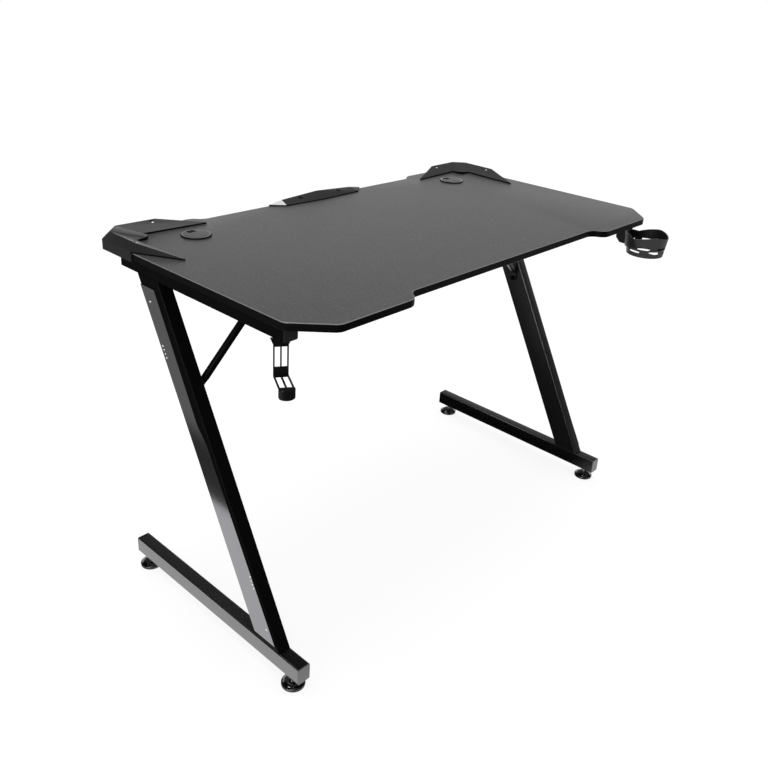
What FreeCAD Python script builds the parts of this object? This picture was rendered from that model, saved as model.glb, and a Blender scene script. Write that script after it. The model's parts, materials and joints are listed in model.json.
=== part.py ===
import FreeCAD, Part
import Sketcher
import math
import os

# Driving dimensions in millimetres: sheet alias, value, what it measures.
SIZES = (
    ("desk_width", 1100, "tabletop from left to right"),
    ("desk_depth", 600, "tabletop from front to back"),
    ("desk_height", 740, "floor to the top of the tabletop"),
    ("board_thickness", 15, "tabletop board"),
    ("board_edge_round", 2, "rounding of the board's upper and lower edges"),
    ("front_corner_cut", 62, "slanted front corners"),
    ("rear_corner_cut", 26, "rear corners under the guards"),
    ("front_recess_depth", 28, "curved recess in the front edge"),
    ("front_recess_half", 305, "middle of the desk to the middle of the front bend"),
    ("front_recess_run", 46, "length of the front bend"),
    ("rear_recess_depth", 18, "cable recess in the rear edge"),
    ("rear_recess_half", 327, "middle of the desk to the middle of the rear bend"),
    ("rear_recess_run", 40, "length of the rear bend"),
    ("leg_inset", 27, "board's side edge to the middle of a leg frame"),
    ("leg_width", 28, "width of all the leg tubes"),
    ("tube_wall", 1.5, "wall of the leg tubes"),
    ("tube_round", 2.5, "outer corner of the tubes"),
    ("foot_clearance", 26, "floor to the underside of the foot beam"),
    ("foot_beam_height", 35, "height of the foot beam"),
    ("foot_beam_front_gap", 27, "board's front edge to the foot beam's front end"),
    ("foot_beam_rear_gap", 44, "board's rear edge to the foot beam's rear end"),
    ("upper_beam_height", 28, "height of the upper beam"),
    ("upper_beam_front_gap", 73, "board's front edge to the upper beam's front end"),
    ("upper_beam_rear_gap", 61, "board's rear edge to the upper beam's rear end"),
    ("column_depth", 56.5, "slanted column, square across its length"),
    ("column_setback", 86, "beam end to the column's middle line, at the foot and at the head"),
    ("end_plate", 5, "plate welded into each end of a column"),
    ("cover_thickness", 2.5, "trim cover on the column's outer face"),
    ("cover_rear_margin", 3, "column's rear edge to the cover"),
    ("cover_foot_margin", 2, "column's front edge to the cover, at the cover's foot"),
    ("cover_step_margin", 8, "column's front edge to the cover, below the step"),
    ("cover_waist_margin", 18, "column's front edge to the cover, above the step"),
    ("cover_head_margin", 15, "column's front edge to the cover, at the cover's head"),
    ("cover_foot_gap", 14, "foot beam to the cover's lower end"),
    ("cover_head_gap", 17, "upper beam to the cover's upper end"),
    ("cover_step_drop", 246, "upper beam to the step in the cover's front edge"),
    ("cover_step_run", 31, "height of the step"),
    ("plug_flange", 2, "outer flange of a tube plug"),
    ("plug_depth", 12, "part of a plug inside its tube"),
    ("fit_gap", 0.1, "gap round pieces that slip into each other"),
    ("foot_pad_radius", 23, "levelling pad"),
    ("foot_pad_rim", 5, "upright rim of the pad"),
    ("foot_pad_height", 14, "whole pad"),
    ("foot_pad_neck", 9, "pad at its top"),
    ("foot_pad_socket", 5, "floor to the bottom of the stud's socket"),
    ("foot_bevel", 1, "bevel under the pad"),
    ("foot_dome", 30, "radius of the pad's domed top"),
    ("stud_radius", 4, "threaded stud"),
    ("stud_reach", 22, "stud above the foot beam's underside"),
    ("insert_radius", 9, "threaded insert inside the foot beam"),
    ("insert_height", 13, "threaded insert"),
    ("thread_gap", 0.05, "running gap round the stud"),
    ("foot_front_setback", 29.5, "foot beam's front end to the front levelling foot"),
    ("foot_rear_setback", 27, "foot beam's rear end to the rear levelling foot"),
    ("crossbar_place", 44, "crossbar's middle line behind the desk's middle"),
    ("crossbar_depth", 40, "crossbar from front to back"),
    ("crossbar_height", 25, "crossbar from bottom to top"),
    ("flange_thickness", 4, "flange at each end of the crossbar"),
    ("flange_length", 76, "flange from front to back"),
    ("flange_bolt_spacing", 58, "between the two bolts of a flange"),
    ("brace_radius", 7.5, "round brace bar"),
    ("brace_tab", 4, "flattened end of a brace"),
    ("brace_tab_width", 16, "width of the flattened end"),
    ("brace_bolt_inset", 205, "column's inner face to the brace's bolt in the crossbar"),
    ("brace_bend_gap", 16, "bolt to the bend"),
    ("brace_taper", 18, "length over which the bar is flattened"),
    ("bolt_radius", 3, "frame bolts"),
    ("bolt_head_radius", 6, "frame bolt heads"),
    ("bolt_head_height", 3.5, "frame bolt heads"),
    ("bolt_reach", 8, "bolt beyond the piece that it clamps"),
    ("access_radius", 7, "tool holes opposite a bolt"),
    ("column_bolt_spacing", 30, "between the two bolts at a column's end"),
    ("wood_screw_radius", 2, "wood screws and trim screws"),
    ("wood_screw_head", 4.5, "radius of a wood screw's head"),
    ("wood_screw_head_height", 2.5, "wood screw's head"),
    ("wood_screw_bite", 11, "screw inside the board"),
    ("board_screw_front_setback", 80, "upper beam's front end to its front board screw"),
    ("board_screw_rear_setback", 39, "upper beam's rear end to its rear board screw"),
    ("crossbar_screw_place", 180, "board screws of the crossbar"),
    ("grommet_side_gap", 154, "board's side edge to the middle of a cable outlet"),
    ("grommet_rear_gap", 103, "board's rear edge to the middle of a cable outlet"),
    ("grommet_flange_radius", 30, "visible ring of the outlet"),
    ("grommet_flange_height", 3, "ring above the board"),
    ("grommet_sleeve_radius", 27, "sleeve in the board"),
    ("grommet_seat_radius", 25.5, "seat of the turning cap"),
    ("grommet_seat_floor", 1, "seat above the board"),
    ("grommet_bore_radius", 21, "bore of the sleeve"),
    ("cap_gap", 0.3, "gap round the turning cap"),
    ("cap_rise", 1, "crown of the cap above the ring"),
    ("cap_skirt_wall", 2, "skirt that guides the cap in the bore"),
    ("cap_skirt_depth", 8, "skirt below the seat"),
    ("cap_notch_width", 18, "cable notch in the cap"),
    ("cap_notch_depth", 15, "cable notch from the cap's edge"),
    ("guard_wall", 2.5, "skirt of a corner guard over the board's edge"),
    ("guard_drop", 17, "skirt below the board's top"),
    ("guard_edge", 3, "outer edge of the guard above the board"),
    ("guard_corner", 25, "slanted outer corner of the guard"),
    ("guard_ridge_far", 123, "far end of the ridge from the corner"),
    ("guard_ridge_near", 35, "near end of the ridge from the corner"),
    ("guard_ridge_inset", 9, "ridge inside the board's edge"),
    ("guard_ridge_far_height", 17, "ridge above the board at its far end"),
    ("guard_ridge_near_height", 18, "ridge above the board at its near end"),
    ("guard_tip_along", 217, "tip of a wing along the board's edge"),
    ("guard_tip_across", 50, "tip of a wing from the board's edge"),
    ("guard_tip_height", 3, "tip above the board"),
    ("guard_notch_along", 72, "inner corner along the edge"),
    ("guard_notch_across", 42, "inner corner from the edge"),
    ("guard_notch_height", 4, "inner corner above the board"),
    ("guard_nose_long", 73, "nose, longer side"),
    ("guard_nose_short", 63, "nose, shorter side"),
    ("guard_nose_height", 6, "nose above the board"),
    ("guard_screw_along", 112, "guard screw along the edge"),
    ("guard_screw_across", 17, "guard screw from the edge"),
    ("guard_screw_seat", 10, "guard screw's head above the board"),
    ("spoiler_half", 143, "rear spoiler's tip from the middle"),
    ("spoiler_shoulder", 113, "rear spoiler's shoulder from the middle"),
    ("spoiler_depth", 31, "spoiler from front to back in the middle"),
    ("spoiler_shoulder_depth", 25, "spoiler from front to back at the shoulder"),
    ("spoiler_height", 14, "spoiler's ridge in the middle"),
    ("spoiler_shoulder_height", 8, "spoiler's ridge at the shoulder"),
    ("spoiler_ridge_half", 106, "end of the spoiler's ridge from the middle"),
    ("spoiler_lip", 2.5, "spoiler's edge above the board"),
    ("spoiler_screw_place", 60, "spoiler screw from the middle"),
    ("spoiler_screw_setback", 11, "spoiler screw from the spoiler's back"),
    ("spoiler_screw_seat", 4, "spoiler screw's head above the board"),
    ("cup_rim_radius", 49, "cup basket at the peaks of its rim"),
    ("cup_floor_radius", 42, "cup basket at its floor"),
    ("cup_height", 51, "cup basket to the peaks of its rim"),
    ("cup_rim_dip", 9.5, "depth of a dip between two peaks of the cup's rim"),
    ("cup_dip_width", 82, "one dip in the cup's rim"),
    ("cup_rim_peaks", 3, "peaks round the cup's rim"),
    ("cup_wall", 2.6, "cup basket's wall"),
    ("cup_floor", 2.5, "cup basket's floor"),
    ("cup_drain_radius", 38, "opening in the cup basket's floor"),
    ("cup_bar", 6, "one of the two crossed bars in the cup basket's floor"),
    ("cup_reach", 72, "front end of the upper beam to the cup's middle"),
    ("cup_drop", 49, "underside of the upper beam to the cup's underside"),
    ("cup_turn", 10, "turn of the basket's slots and peaks, in degrees"),
    ("cup_slot_count", 6, "slots in each row"),
    ("cup_slot_width", 28, "one slot"),
    ("cup_slot_height", 6.5, "one slot"),
    ("cup_slot_upper", 22, "upper row's middle above the cup's underside"),
    ("cup_slot_lower", 13, "lower row's middle above the cup's underside"),
    ("cup_arm", 4, "arm of the cup bracket"),
    ("cup_arm_foot", 15, "cup's underside to the lower edge of block and arm"),
    ("cup_arm_tip", 2, "cup's middle to the arm's point"),
    ("cup_arm_tip_rise", 22, "cup's underside to the arm's point"),
    ("cup_arm_crest", 22, "cup's middle to where the arm reaches full height"),
    ("cup_block_slope", 11, "sloping corner of the block under the beam's end"),
    ("cup_plate", 6, "cup bracket's plate under the beam"),
    ("cup_plate_length", 60, "cup bracket's plate along the beam"),
    ("hook_setback", 29.5, "front end of the upper beam to the hook's screw"),
    ("hook_side", 3, "hook's screw inside the middle of the beam"),
    ("hook_turn", 33, "hook's turn from straight ahead, in degrees"),
    ("hook_width", 24.6, "width of the hook"),
    ("hook_flare", 5, "hook's head beyond its width, on each side"),
    ("hook_flare_height", 12, "height of the wider head"),
    ("hook_plate", 5, "hook's plate under the beam"),
    ("hook_heel", 14, "hook's plate behind its screw"),
    ("hook_hanger", 12, "hook's screw to the outer face of the hanger"),
    ("hook_drop", 64, "underside of the beam to the upper face of the arm"),
    ("hook_arm", 65, "reach of the arm beyond the hanger"),
    ("hook_arm_rise", 10, "rise of the arm towards its end"),
    ("hook_stock", 4, "thickness of the hook"),
    ("hook_rib", 2.2, "ribs of the hook's windows"),
    ("hook_window_high", 15, "beam's underside to the top of the windows"),
    ("hook_window_low", 51, "beam's underside to the foot of the windows"),
    ("hook_end_width", 26, "rounded block at the end of the arm"),
    ("hook_end_side", 5, "straight sides of the end block"),
    ("hook_end_depth", 12, "end block along the arm"),
    ("hook_end_height", 19, "end block from top to bottom"),
    ("hook_end_round", 5, "rounded lower edge of the end block"),
)

SIDES = (("left", -1), ("right", 1))

doc = FreeCAD.newDocument("gaming_desk")
sheet = doc.addObject("Spreadsheet::Sheet", "dims")
for line, (alias, value, meaning) in enumerate(SIZES, start=1):
    sheet.set(f"A{line}", meaning)
    sheet.set(f"B{line}", str(value))
    sheet.setAlias(f"B{line}", alias)
doc.recompute()


class Size:
    """A length with its number and the sheet formula that gives it."""

    def __init__(self, number, formula):
        self.number = float(number)
        self.formula = formula

    def joined(self, other, sign, number):
        return Size(number, f"({self.formula} {sign} {as_size(other).formula})")

    def __add__(self, other):
        return self.joined(other, "+", self.number + as_size(other).number)

    def __sub__(self, other):
        return self.joined(other, "-", self.number - as_size(other).number)

    def __mul__(self, other):
        return self.joined(other, "*", self.number * as_size(other).number)

    def __truediv__(self, other):
        return self.joined(other, "/", self.number / as_size(other).number)

    def __neg__(self):
        return self * -1


def as_size(value):
    return value if isinstance(value, Size) else Size(value, str(float(value)))


def square_root(value):
    return Size(math.sqrt(value.number), f"sqrt({value.formula})")


class Values:
    """The sheet's sizes by name."""


d = Values()
for alias, _, _ in SIZES:
    setattr(d, alias, Size(sheet.get(alias), f"dims.{alias}"))

# Heights and places that several pieces share.
half_width = d.desk_width / 2
half_depth = d.desk_depth / 2
board_under = d.desk_height - d.board_thickness
upper_beam_under = board_under - d.upper_beam_height
foot_beam_top = d.foot_clearance + d.foot_beam_height
leg_offset = half_width - d.leg_inset
inner_face = leg_offset - d.leg_width / 2
outer_face = leg_offset + d.leg_width / 2
upper_beam_front = half_depth - d.upper_beam_front_gap
upper_beam_rear = half_depth - d.upper_beam_rear_gap
foot_beam_front = half_depth - d.foot_beam_front_gap
foot_beam_rear = half_depth - d.foot_beam_rear_gap
crossbar_under = board_under - d.crossbar_height
column_foot_reach = foot_beam_front - d.column_setback
column_head_reach = upper_beam_rear - d.column_setback
column_slope = (column_head_reach + column_foot_reach) / (upper_beam_under - foot_beam_top)
column_stretch = square_root(column_slope * column_slope + 1)
brace_bolt_height = foot_beam_top + (d.crossbar_place + column_foot_reach) / column_slope
brace_bolt_place = inner_face - d.brace_bolt_inset
rear_edge = half_depth - d.rear_recess_depth
grommet_x = half_width - d.grommet_side_gap
grommet_y = half_depth - d.grommet_rear_gap

nodes = []


def add_node(kind, name):
    """A new sub-part of the document; its label is its file's name."""
    node = doc.addObject(kind, name)
    node.Label = name
    nodes.append(node)
    return node


def add_shape(name, shape):
    """A sub-part made of Part's own solids."""
    node = add_node("Part::Feature", name)
    node.Shape = shape
    return node


def vector(x, y, z):
    return FreeCAD.Vector(as_size(x).number, as_size(y).number, as_size(z).number)


def pin_point(sketch, curve, end, x, y):
    """Ties one point of a sketch to its place."""
    for axis, place, axis_line in (("X", as_size(x), -2), ("Y", as_size(y), -1)):
        if place.formula == "0.0":
            sketch.addConstraint(Sketcher.Constraint("PointOnObject", curve, end, axis_line))
            continue
        rule = Sketcher.Constraint(f"Distance{axis}", -1, 1, curve, end, place.number)
        row = sketch.addConstraint(rule)
        sketch.setExpression(f"Constraints[{row}]", place.formula)


def set_radius(sketch, curve, radius):
    row = sketch.addConstraint(Sketcher.Constraint("Radius", curve, as_size(radius).number))
    sketch.setExpression(f"Constraints[{row}]", as_size(radius).formula)


def arc_curve(start, end, radius, left):
    """An arc between two points that turns left or right, and the ends it starts and stops with."""
    span = end - start
    rise = math.sqrt(max(radius ** 2 - span.Length ** 2 / 4, 0))
    normal = FreeCAD.Vector(-span.y, span.x, 0).normalize() * (rise if left else -rise)
    centre = (start + end) / 2 + normal
    first, last = (start - centre, end - centre) if left else (end - centre, start - centre)
    circle = Part.Circle(centre, FreeCAD.Vector(0, 0, 1), radius)
    arc = Part.ArcOfCircle(circle, math.atan2(first.y, first.x), math.atan2(last.y, last.x))
    return arc, (1, 2) if left else (2, 1)


def draw_run(sketch, corners):
    """A closed run of lines and arcs. A corner is (x, y), or (x, y, radius, left) before an arc."""
    points = [vector(corner[0], corner[1], 0) for corner in corners]
    pieces = []
    for place, corner in enumerate(corners):
        start, end = points[place], points[(place + 1) % len(points)]
        curve, ends = Part.LineSegment(start, end), (1, 2)
        if len(corner) == 4:
            curve, ends = arc_curve(start, end, as_size(corner[2]).number, corner[3])
        pieces.append((sketch.addGeometry(curve, False), ends))
    for place, (curve, ends) in enumerate(pieces):
        after, after_ends = pieces[(place + 1) % len(pieces)]
        rule = Sketcher.Constraint("Coincident", curve, ends[1], after, after_ends[0])
        sketch.addConstraint(rule)
    for (curve, ends), corner in zip(pieces, corners):
        pin_point(sketch, curve, ends[0], corner[0], corner[1])
        if len(corner) == 4:
            set_radius(sketch, curve, corner[2])


def draw_circle(sketch, x, y, radius):
    centre = vector(x, y, 0)
    circle = Part.Circle(centre, FreeCAD.Vector(0, 0, 1), as_size(radius).number)
    curve = sketch.addGeometry(circle, False)
    pin_point(sketch, curve, 3, x, y)
    set_radius(sketch, curve, radius)


def draw(body, plane, lift, runs=(), circles=()):
    """A sketch at a height over one of the body's own planes, with closed runs and circles."""
    sketch = body.newObject("Sketcher::SketchObject", f"{body.Name}_sketch")
    origin_plane = next(f for f in body.Origin.OriginFeatures if f.Role == f"{plane}_Plane")
    sketch.AttachmentSupport = [(origin_plane, "")]
    sketch.MapMode = "FlatFace"
    # The XZ plane looks to the front, so a height over it counts towards the back.
    height = -as_size(lift) if plane == "XZ" else as_size(lift)
    sketch.setExpression("AttachmentOffset.Base.z", height.formula)
    for corners in runs:
        draw_run(sketch, corners)
    for x, y, radius in circles:
        draw_circle(sketch, x, y, radius)
    return sketch


def extrude(body, kind, plane, low, high, runs=(), circles=()):
    """Adds or cuts a straight prism between two heights over a plane of the body."""
    middle = (as_size(low) + high) / 2
    sketch = draw(body, plane, middle, runs, circles)
    feature = body.newObject(f"PartDesign::{kind}", f"{sketch.Name}_{kind}")
    feature.Profile = sketch
    feature.SideType = "Symmetric"
    feature.setExpression("Length", (as_size(high) - low).formula)
    doc.recompute()
    return feature


def pad(body, plane, low, high, runs=(), circles=()):
    return extrude(body, "Pad", plane, low, high, runs, circles)


def cut(body, plane, low, high, runs=(), circles=()):
    return extrude(body, "Pocket", plane, low, high, runs, circles)


def round_edges(body, feature, radius, chosen):
    """Rounds the edges of a feature that the test chooses."""
    edges = feature.Shape.Edges
    names = [f"Edge{place}" for place, edge in enumerate(edges, start=1) if chosen(edge)]
    fillet = body.newObject("PartDesign::Fillet", f"{feature.Name}_round")
    fillet.Base = (feature, names)
    fillet.setExpression("Radius", as_size(radius).formula)
    doc.recompute()
    return fillet


def revolve(body, corners):
    """A solid of revolution about the body's own Z axis, from a run in its XZ plane."""
    sketch = draw(body, "XZ", 0, [corners])
    feature = body.newObject("PartDesign::Revolution", f"{sketch.Name}_turned")
    feature.Profile = sketch
    feature.ReferenceAxis = (sketch, ["V_Axis"])
    feature.Angle = 360
    doc.recompute()
    return feature


def place_node(node, x, y, z):
    for axis, place in zip("xyz", (x, y, z)):
        node.setExpression(f"Placement.Base.{axis}", as_size(place).formula)


def box_run(low_x, low_y, high_x, high_y):
    return [(low_x, low_y), (high_x, low_y), (high_x, high_y), (low_x, high_y)]


def direction(edge):
    return (edge.Vertexes[-1].Point - edge.Vertexes[0].Point).normalize()


def runs_along(axis):
    """A test for straight edges that lie along an axis."""
    return lambda edge: len(edge.Vertexes) == 2 and abs(direction(edge).dot(axis)) > 0.999


# Shapes closer than this, in millimetres, count as touching.
TOUCH = 0.001
X_AXIS = FreeCAD.Vector(1, 0, 0)
Y_AXIS = FreeCAD.Vector(0, 1, 0)
Z_AXIS = FreeCAD.Vector(0, 0, 1)


# Tabletop board with slanted corners and curved recesses
def bend(from_x, from_y, to_x, to_y, left):
    """Two equal arcs that lead from one straight edge to a parallel one."""
    run, depth = as_size(to_x) - from_x, as_size(to_y) - from_y
    radius = (run * run + depth * depth) / (square_root(depth * depth) * 4)
    middle_x, middle_y = (as_size(from_x) + to_x) / 2, (as_size(from_y) + to_y) / 2
    return [(from_x, from_y, radius, left), (middle_x, middle_y, radius, not left), (to_x, to_y)]


def board_outline():
    front_out = d.front_recess_half + d.front_recess_run / 2
    front_in = d.front_recess_half - d.front_recess_run / 2
    front_floor = d.front_recess_depth - half_depth
    rear_out = d.rear_recess_half + d.rear_recess_run / 2
    rear_in = d.rear_recess_half - d.rear_recess_run / 2
    return [
        (d.front_corner_cut - half_width, -half_depth),
        *bend(-front_out, -half_depth, -front_in, front_floor, True),
        *bend(front_in, front_floor, front_out, -half_depth, False),
        (half_width - d.front_corner_cut, -half_depth),
        (half_width, d.front_corner_cut - half_depth),
        (half_width, half_depth - d.rear_corner_cut),
        (half_width - d.rear_corner_cut, half_depth),
        *bend(rear_out, half_depth, rear_in, rear_edge, True),
        *bend(-rear_in, rear_edge, -rear_out, half_depth, False),
        (d.rear_corner_cut - half_width, half_depth),
        (-half_width, half_depth - d.rear_corner_cut),
        (-half_width, d.front_corner_cut - half_depth),
    ]


def beam_screw_places():
    """Board screws in the upper beams and in the crossbar."""
    beams = [(leg_offset * side, y) for _, side in SIDES
             for y in (d.board_screw_front_setback - upper_beam_front,
                       upper_beam_rear - d.board_screw_rear_setback)]
    return beams + [(d.crossbar_screw_place * side, d.crossbar_place) for _, side in SIDES]


def guard_screw_places():
    along, across = d.guard_screw_along, d.guard_screw_across
    return [((half_width - a) * side, half_depth - b) for _, side in SIDES
            for a, b in ((along, across), (across, along))]


def spoiler_screw_places():
    return [(d.spoiler_screw_place * side, rear_edge - d.spoiler_screw_setback) for _, side in SIDES]


def make_board():
    body = add_node("PartDesign::Body", "tabletop_board")
    slab = pad(body, "XY", board_under, d.desk_height, [board_outline()])
    rims = lambda edge: edge.BoundBox.ZLength < TOUCH
    slab = round_edges(body, slab, d.board_edge_round, rims)
    outlets = [(grommet_x * side, grommet_y, d.grommet_sleeve_radius + d.fit_gap)
               for _, side in SIDES]
    cut(body, "XY", board_under, d.desk_height, circles=outlets)
    pilots = [(x, y, d.wood_screw_radius) for x, y in beam_screw_places()]
    cut(body, "XY", board_under, board_under + d.wood_screw_bite, circles=pilots)
    trim = [(x, y, d.wood_screw_radius) for x, y in guard_screw_places() + spoiler_screw_places()]
    cut(body, "XY", d.desk_height - d.wood_screw_bite, d.desk_height, circles=trim)


# Leg frames: tubes, end plates, covers and plugs
def tube_along_y(name, side, front, rear, under, height):
    """A rectangular tube along the depth of the desk, at one leg frame."""
    body = add_node("PartDesign::Body", name)
    centre = leg_offset * side
    half = d.leg_width / 2
    outer = box_run(centre - half, under, centre + half, under + height)
    hollow = half - d.tube_wall
    inner = box_run(centre - hollow, under + d.tube_wall,
                    centre + hollow, under + height - d.tube_wall)
    bar = pad(body, "XZ", front, rear, [outer])
    round_edges(body, bar, d.tube_round, runs_along(Y_AXIS))
    cut(body, "XZ", front, rear, [inner])
    return body


def column_bolt_places(side, reach):
    return [(leg_offset * side, reach + d.column_bolt_spacing / 2 * sign) for sign in (-1, 1)]


def drill_wall(body, low, high, places, radius):
    """Round holes through one wall of a tube, between two heights."""
    cut(body, "XY", low, high, circles=[(x, y, radius) for x, y in places])


def column_at(height):
    """The column's middle line at a height, as a place from front to back."""
    return (as_size(height) - foot_beam_top) * column_slope - column_foot_reach


def column_run(low, high, half):
    """The column's slanted outline between two heights, for half its depth across."""
    reach = half * column_stretch
    return [(column_at(low) - reach, low), (column_at(low) + reach, low),
            (column_at(high) + reach, high), (column_at(high) - reach, high)]


def make_column(name, side):
    body = add_node("PartDesign::Body", f"column_{name}")
    half = d.leg_width / 2
    centre = leg_offset * side
    outer = column_run(foot_beam_top, upper_beam_under, d.column_depth / 2)
    bar = pad(body, "YZ", centre - half, centre + half, [outer])
    lean = vector(0, column_slope, 1).normalize()
    round_edges(body, bar, d.tube_round, runs_along(lean))
    hollow = half - d.tube_wall
    inner = column_run(foot_beam_top, upper_beam_under, d.column_depth / 2 - d.tube_wall)
    cut(body, "YZ", centre - hollow, centre + hollow, [inner])
    bolt = [(d.crossbar_place, brace_bolt_height, d.bolt_radius)]
    wall = centre - half * side
    cut(body, "YZ", wall - d.tube_wall, wall + d.tube_wall, circles=bolt)


def make_end_plate(name, side, end, low, bolts):
    """A plate welded into one end of a column, which takes that end's bolts."""
    body = add_node("PartDesign::Body", f"column_{end}_plate_{name}")
    half = d.leg_width / 2 - d.tube_wall - d.fit_gap
    centre = leg_offset * side
    run = column_run(low, low + d.end_plate, d.column_depth / 2 - d.tube_wall - d.fit_gap)
    pad(body, "YZ", centre - half, centre + half, [run])
    drill_wall(body, low, low + d.end_plate, bolts, d.bolt_radius)


def make_cover(name, side):
    """A trim cover on the column's outer face, with a step in its front edge."""
    body = add_node("PartDesign::Body", f"column_cover_{name}")
    low, high = foot_beam_top + d.cover_foot_gap, upper_beam_under - d.cover_head_gap
    step_high = upper_beam_under - d.cover_step_drop
    step_low = step_high - d.cover_step_run

    def front(height, margin):
        return column_at(height) - (d.column_depth / 2 - margin) * column_stretch, height

    def rear(height):
        return column_at(height) + (d.column_depth / 2 - d.cover_rear_margin) * column_stretch, height

    outline = [front(low, d.cover_foot_margin), rear(low), rear(high), front(high, d.cover_head_margin),
               front(step_high, d.cover_waist_margin), front(step_low, d.cover_step_margin)]
    face = outer_face * side
    back = face + d.cover_thickness * side
    pad(body, "YZ", *((back, face) if side < 0 else (face, back)), [outline])


def make_plug(name, side, y_end, outward, under, height):
    """A plastic plug in an open tube end: a flange as large as the tube, and a part inside it."""
    body = add_node("PartDesign::Body", name)
    centre = leg_offset * side
    half = d.leg_width / 2
    flange = box_run(centre - half, under, centre + half, under + height)
    lip = y_end + d.plug_flange * outward
    rim = pad(body, "XZ", *((lip, y_end) if outward < 0 else (y_end, lip)), [flange])
    round_edges(body, rim, d.tube_round, runs_along(Y_AXIS))
    gap = d.tube_wall + d.fit_gap
    inside = box_run(centre - half + gap, under + gap, centre + half - gap, under + height - gap)
    tail = y_end - d.plug_depth * outward
    pad(body, "XZ", *((y_end, tail) if outward < 0 else (tail, y_end)), [inside])


def make_leg(name, side):
    foot_front = d.plug_flange - foot_beam_front
    foot_rear = foot_beam_rear - d.plug_flange
    foot_beam = tube_along_y(f"foot_beam_{name}", side, foot_front, foot_rear,
                             d.foot_clearance, d.foot_beam_height)
    foot_bolts = column_bolt_places(side, -column_foot_reach)
    drill_wall(foot_beam, foot_beam_top - d.tube_wall, foot_beam_top, foot_bolts, d.bolt_radius)
    floor_wall = d.foot_clearance + d.tube_wall
    drill_wall(foot_beam, d.foot_clearance, floor_wall, foot_bolts, d.access_radius)
    studs = [(leg_offset * side, y) for _, y in FOOT_PLACES]
    drill_wall(foot_beam, d.foot_clearance, floor_wall, studs, d.stud_radius + d.thread_gap)

    beam_front = d.plug_flange - upper_beam_front
    beam_rear = upper_beam_rear - d.plug_flange
    beam = tube_along_y(f"upper_beam_{name}", side, beam_front, beam_rear,
                        upper_beam_under, d.upper_beam_height)
    head_bolts = column_bolt_places(side, column_head_reach)
    beam_floor = upper_beam_under + d.tube_wall
    drill_wall(beam, upper_beam_under, beam_floor, head_bolts, d.bolt_radius)
    drill_wall(beam, board_under - d.tube_wall, board_under, head_bolts, d.access_radius)
    board_screws = [place for place in beam_screw_places() if place[0].number * side > 0][:2]
    drill_wall(beam, board_under - d.tube_wall, board_under, board_screws, d.wood_screw_radius)
    drill_wall(beam, upper_beam_under, beam_floor, board_screws, d.access_radius)
    flange_bolts = [(y, z, d.bolt_radius) for y, z in flange_bolt_places()]
    wall = inner_face * side
    cut(beam, "YZ", wall - d.tube_wall, wall + d.tube_wall, circles=flange_bolts)
    accessory = accessory_screw_places(side)
    drill_wall(beam, upper_beam_under, beam_floor, accessory, d.wood_screw_radius)

    make_column(name, side)
    make_end_plate(name, side, "foot", foot_beam_top, foot_bolts)
    make_end_plate(name, side, "head", upper_beam_under - d.end_plate, head_bolts)
    make_cover(name, side)
    make_plug(f"foot_beam_front_plug_{name}", side, foot_front, -1,
              d.foot_clearance, d.foot_beam_height)
    make_plug(f"foot_beam_rear_plug_{name}", side, foot_rear, 1,
              d.foot_clearance, d.foot_beam_height)
    make_plug(f"upper_beam_front_plug_{name}", side, beam_front, -1,
              upper_beam_under, d.upper_beam_height)
    make_plug(f"upper_beam_rear_plug_{name}", side, beam_rear, 1,
              upper_beam_under, d.upper_beam_height)


# Levelling feet
FOOT_PLACES = (("front", d.foot_front_setback - foot_beam_front),
               ("rear", foot_beam_rear - d.foot_rear_setback))


def make_levelling_foot(name, x, y):
    foot_pad = add_node("PartDesign::Body", f"levelling_pad_{name}")
    revolve(foot_pad, [
        (0, 0),
        (d.foot_pad_radius - d.foot_bevel, 0),
        (d.foot_pad_radius, d.foot_bevel),
        (d.foot_pad_radius, d.foot_pad_rim, d.foot_dome, True),
        (d.foot_pad_neck, d.foot_pad_height),
        (d.stud_radius, d.foot_pad_height),
        (d.stud_radius, d.foot_pad_socket),
        (0, d.foot_pad_socket),
    ])
    place_node(foot_pad, x, y, 0)
    stud = add_node("Part::Cylinder", f"levelling_stud_{name}")
    stud.setExpression("Radius", d.stud_radius.formula)
    top = d.foot_clearance + d.stud_reach
    stud.setExpression("Height", (top - d.foot_pad_socket).formula)
    place_node(stud, x, y, d.foot_pad_socket)
    insert = add_node("PartDesign::Body", f"threaded_insert_{name}")
    seat = d.foot_clearance + d.tube_wall
    rings = [(x, y, d.insert_radius), (x, y, d.stud_radius + d.thread_gap)]
    pad(insert, "XY", seat, seat + d.insert_height, circles=rings)


# Crossbar under the board, its flanges and the two braces
def flange_bolt_places():
    height = board_under - d.crossbar_height / 2
    return [(d.crossbar_place + d.flange_bolt_spacing / 2 * sign, height) for sign in (-1, 1)]


def make_crossbar():
    body = add_node("PartDesign::Body", "crossbar")
    half = inner_face - d.flange_thickness
    front, rear = d.crossbar_place - d.crossbar_depth / 2, d.crossbar_place + d.crossbar_depth / 2
    bar = pad(body, "YZ", -half, half, [box_run(front, crossbar_under, rear, board_under)])
    round_edges(body, bar, d.tube_round, runs_along(X_AXIS))
    wall = d.tube_wall
    hollow = box_run(front + wall, crossbar_under + wall, rear - wall, board_under - wall)
    cut(body, "YZ", -half, half, [hollow])
    brace_bolts = [(brace_bolt_place * side, d.crossbar_place) for _, side in SIDES]
    drill_wall(body, crossbar_under, crossbar_under + wall, brace_bolts, d.bolt_radius)
    board_screws = beam_screw_places()[-2:]
    drill_wall(body, board_under - wall, board_under, board_screws, d.wood_screw_radius)
    drill_wall(body, crossbar_under, crossbar_under + wall, board_screws, d.access_radius)


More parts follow.
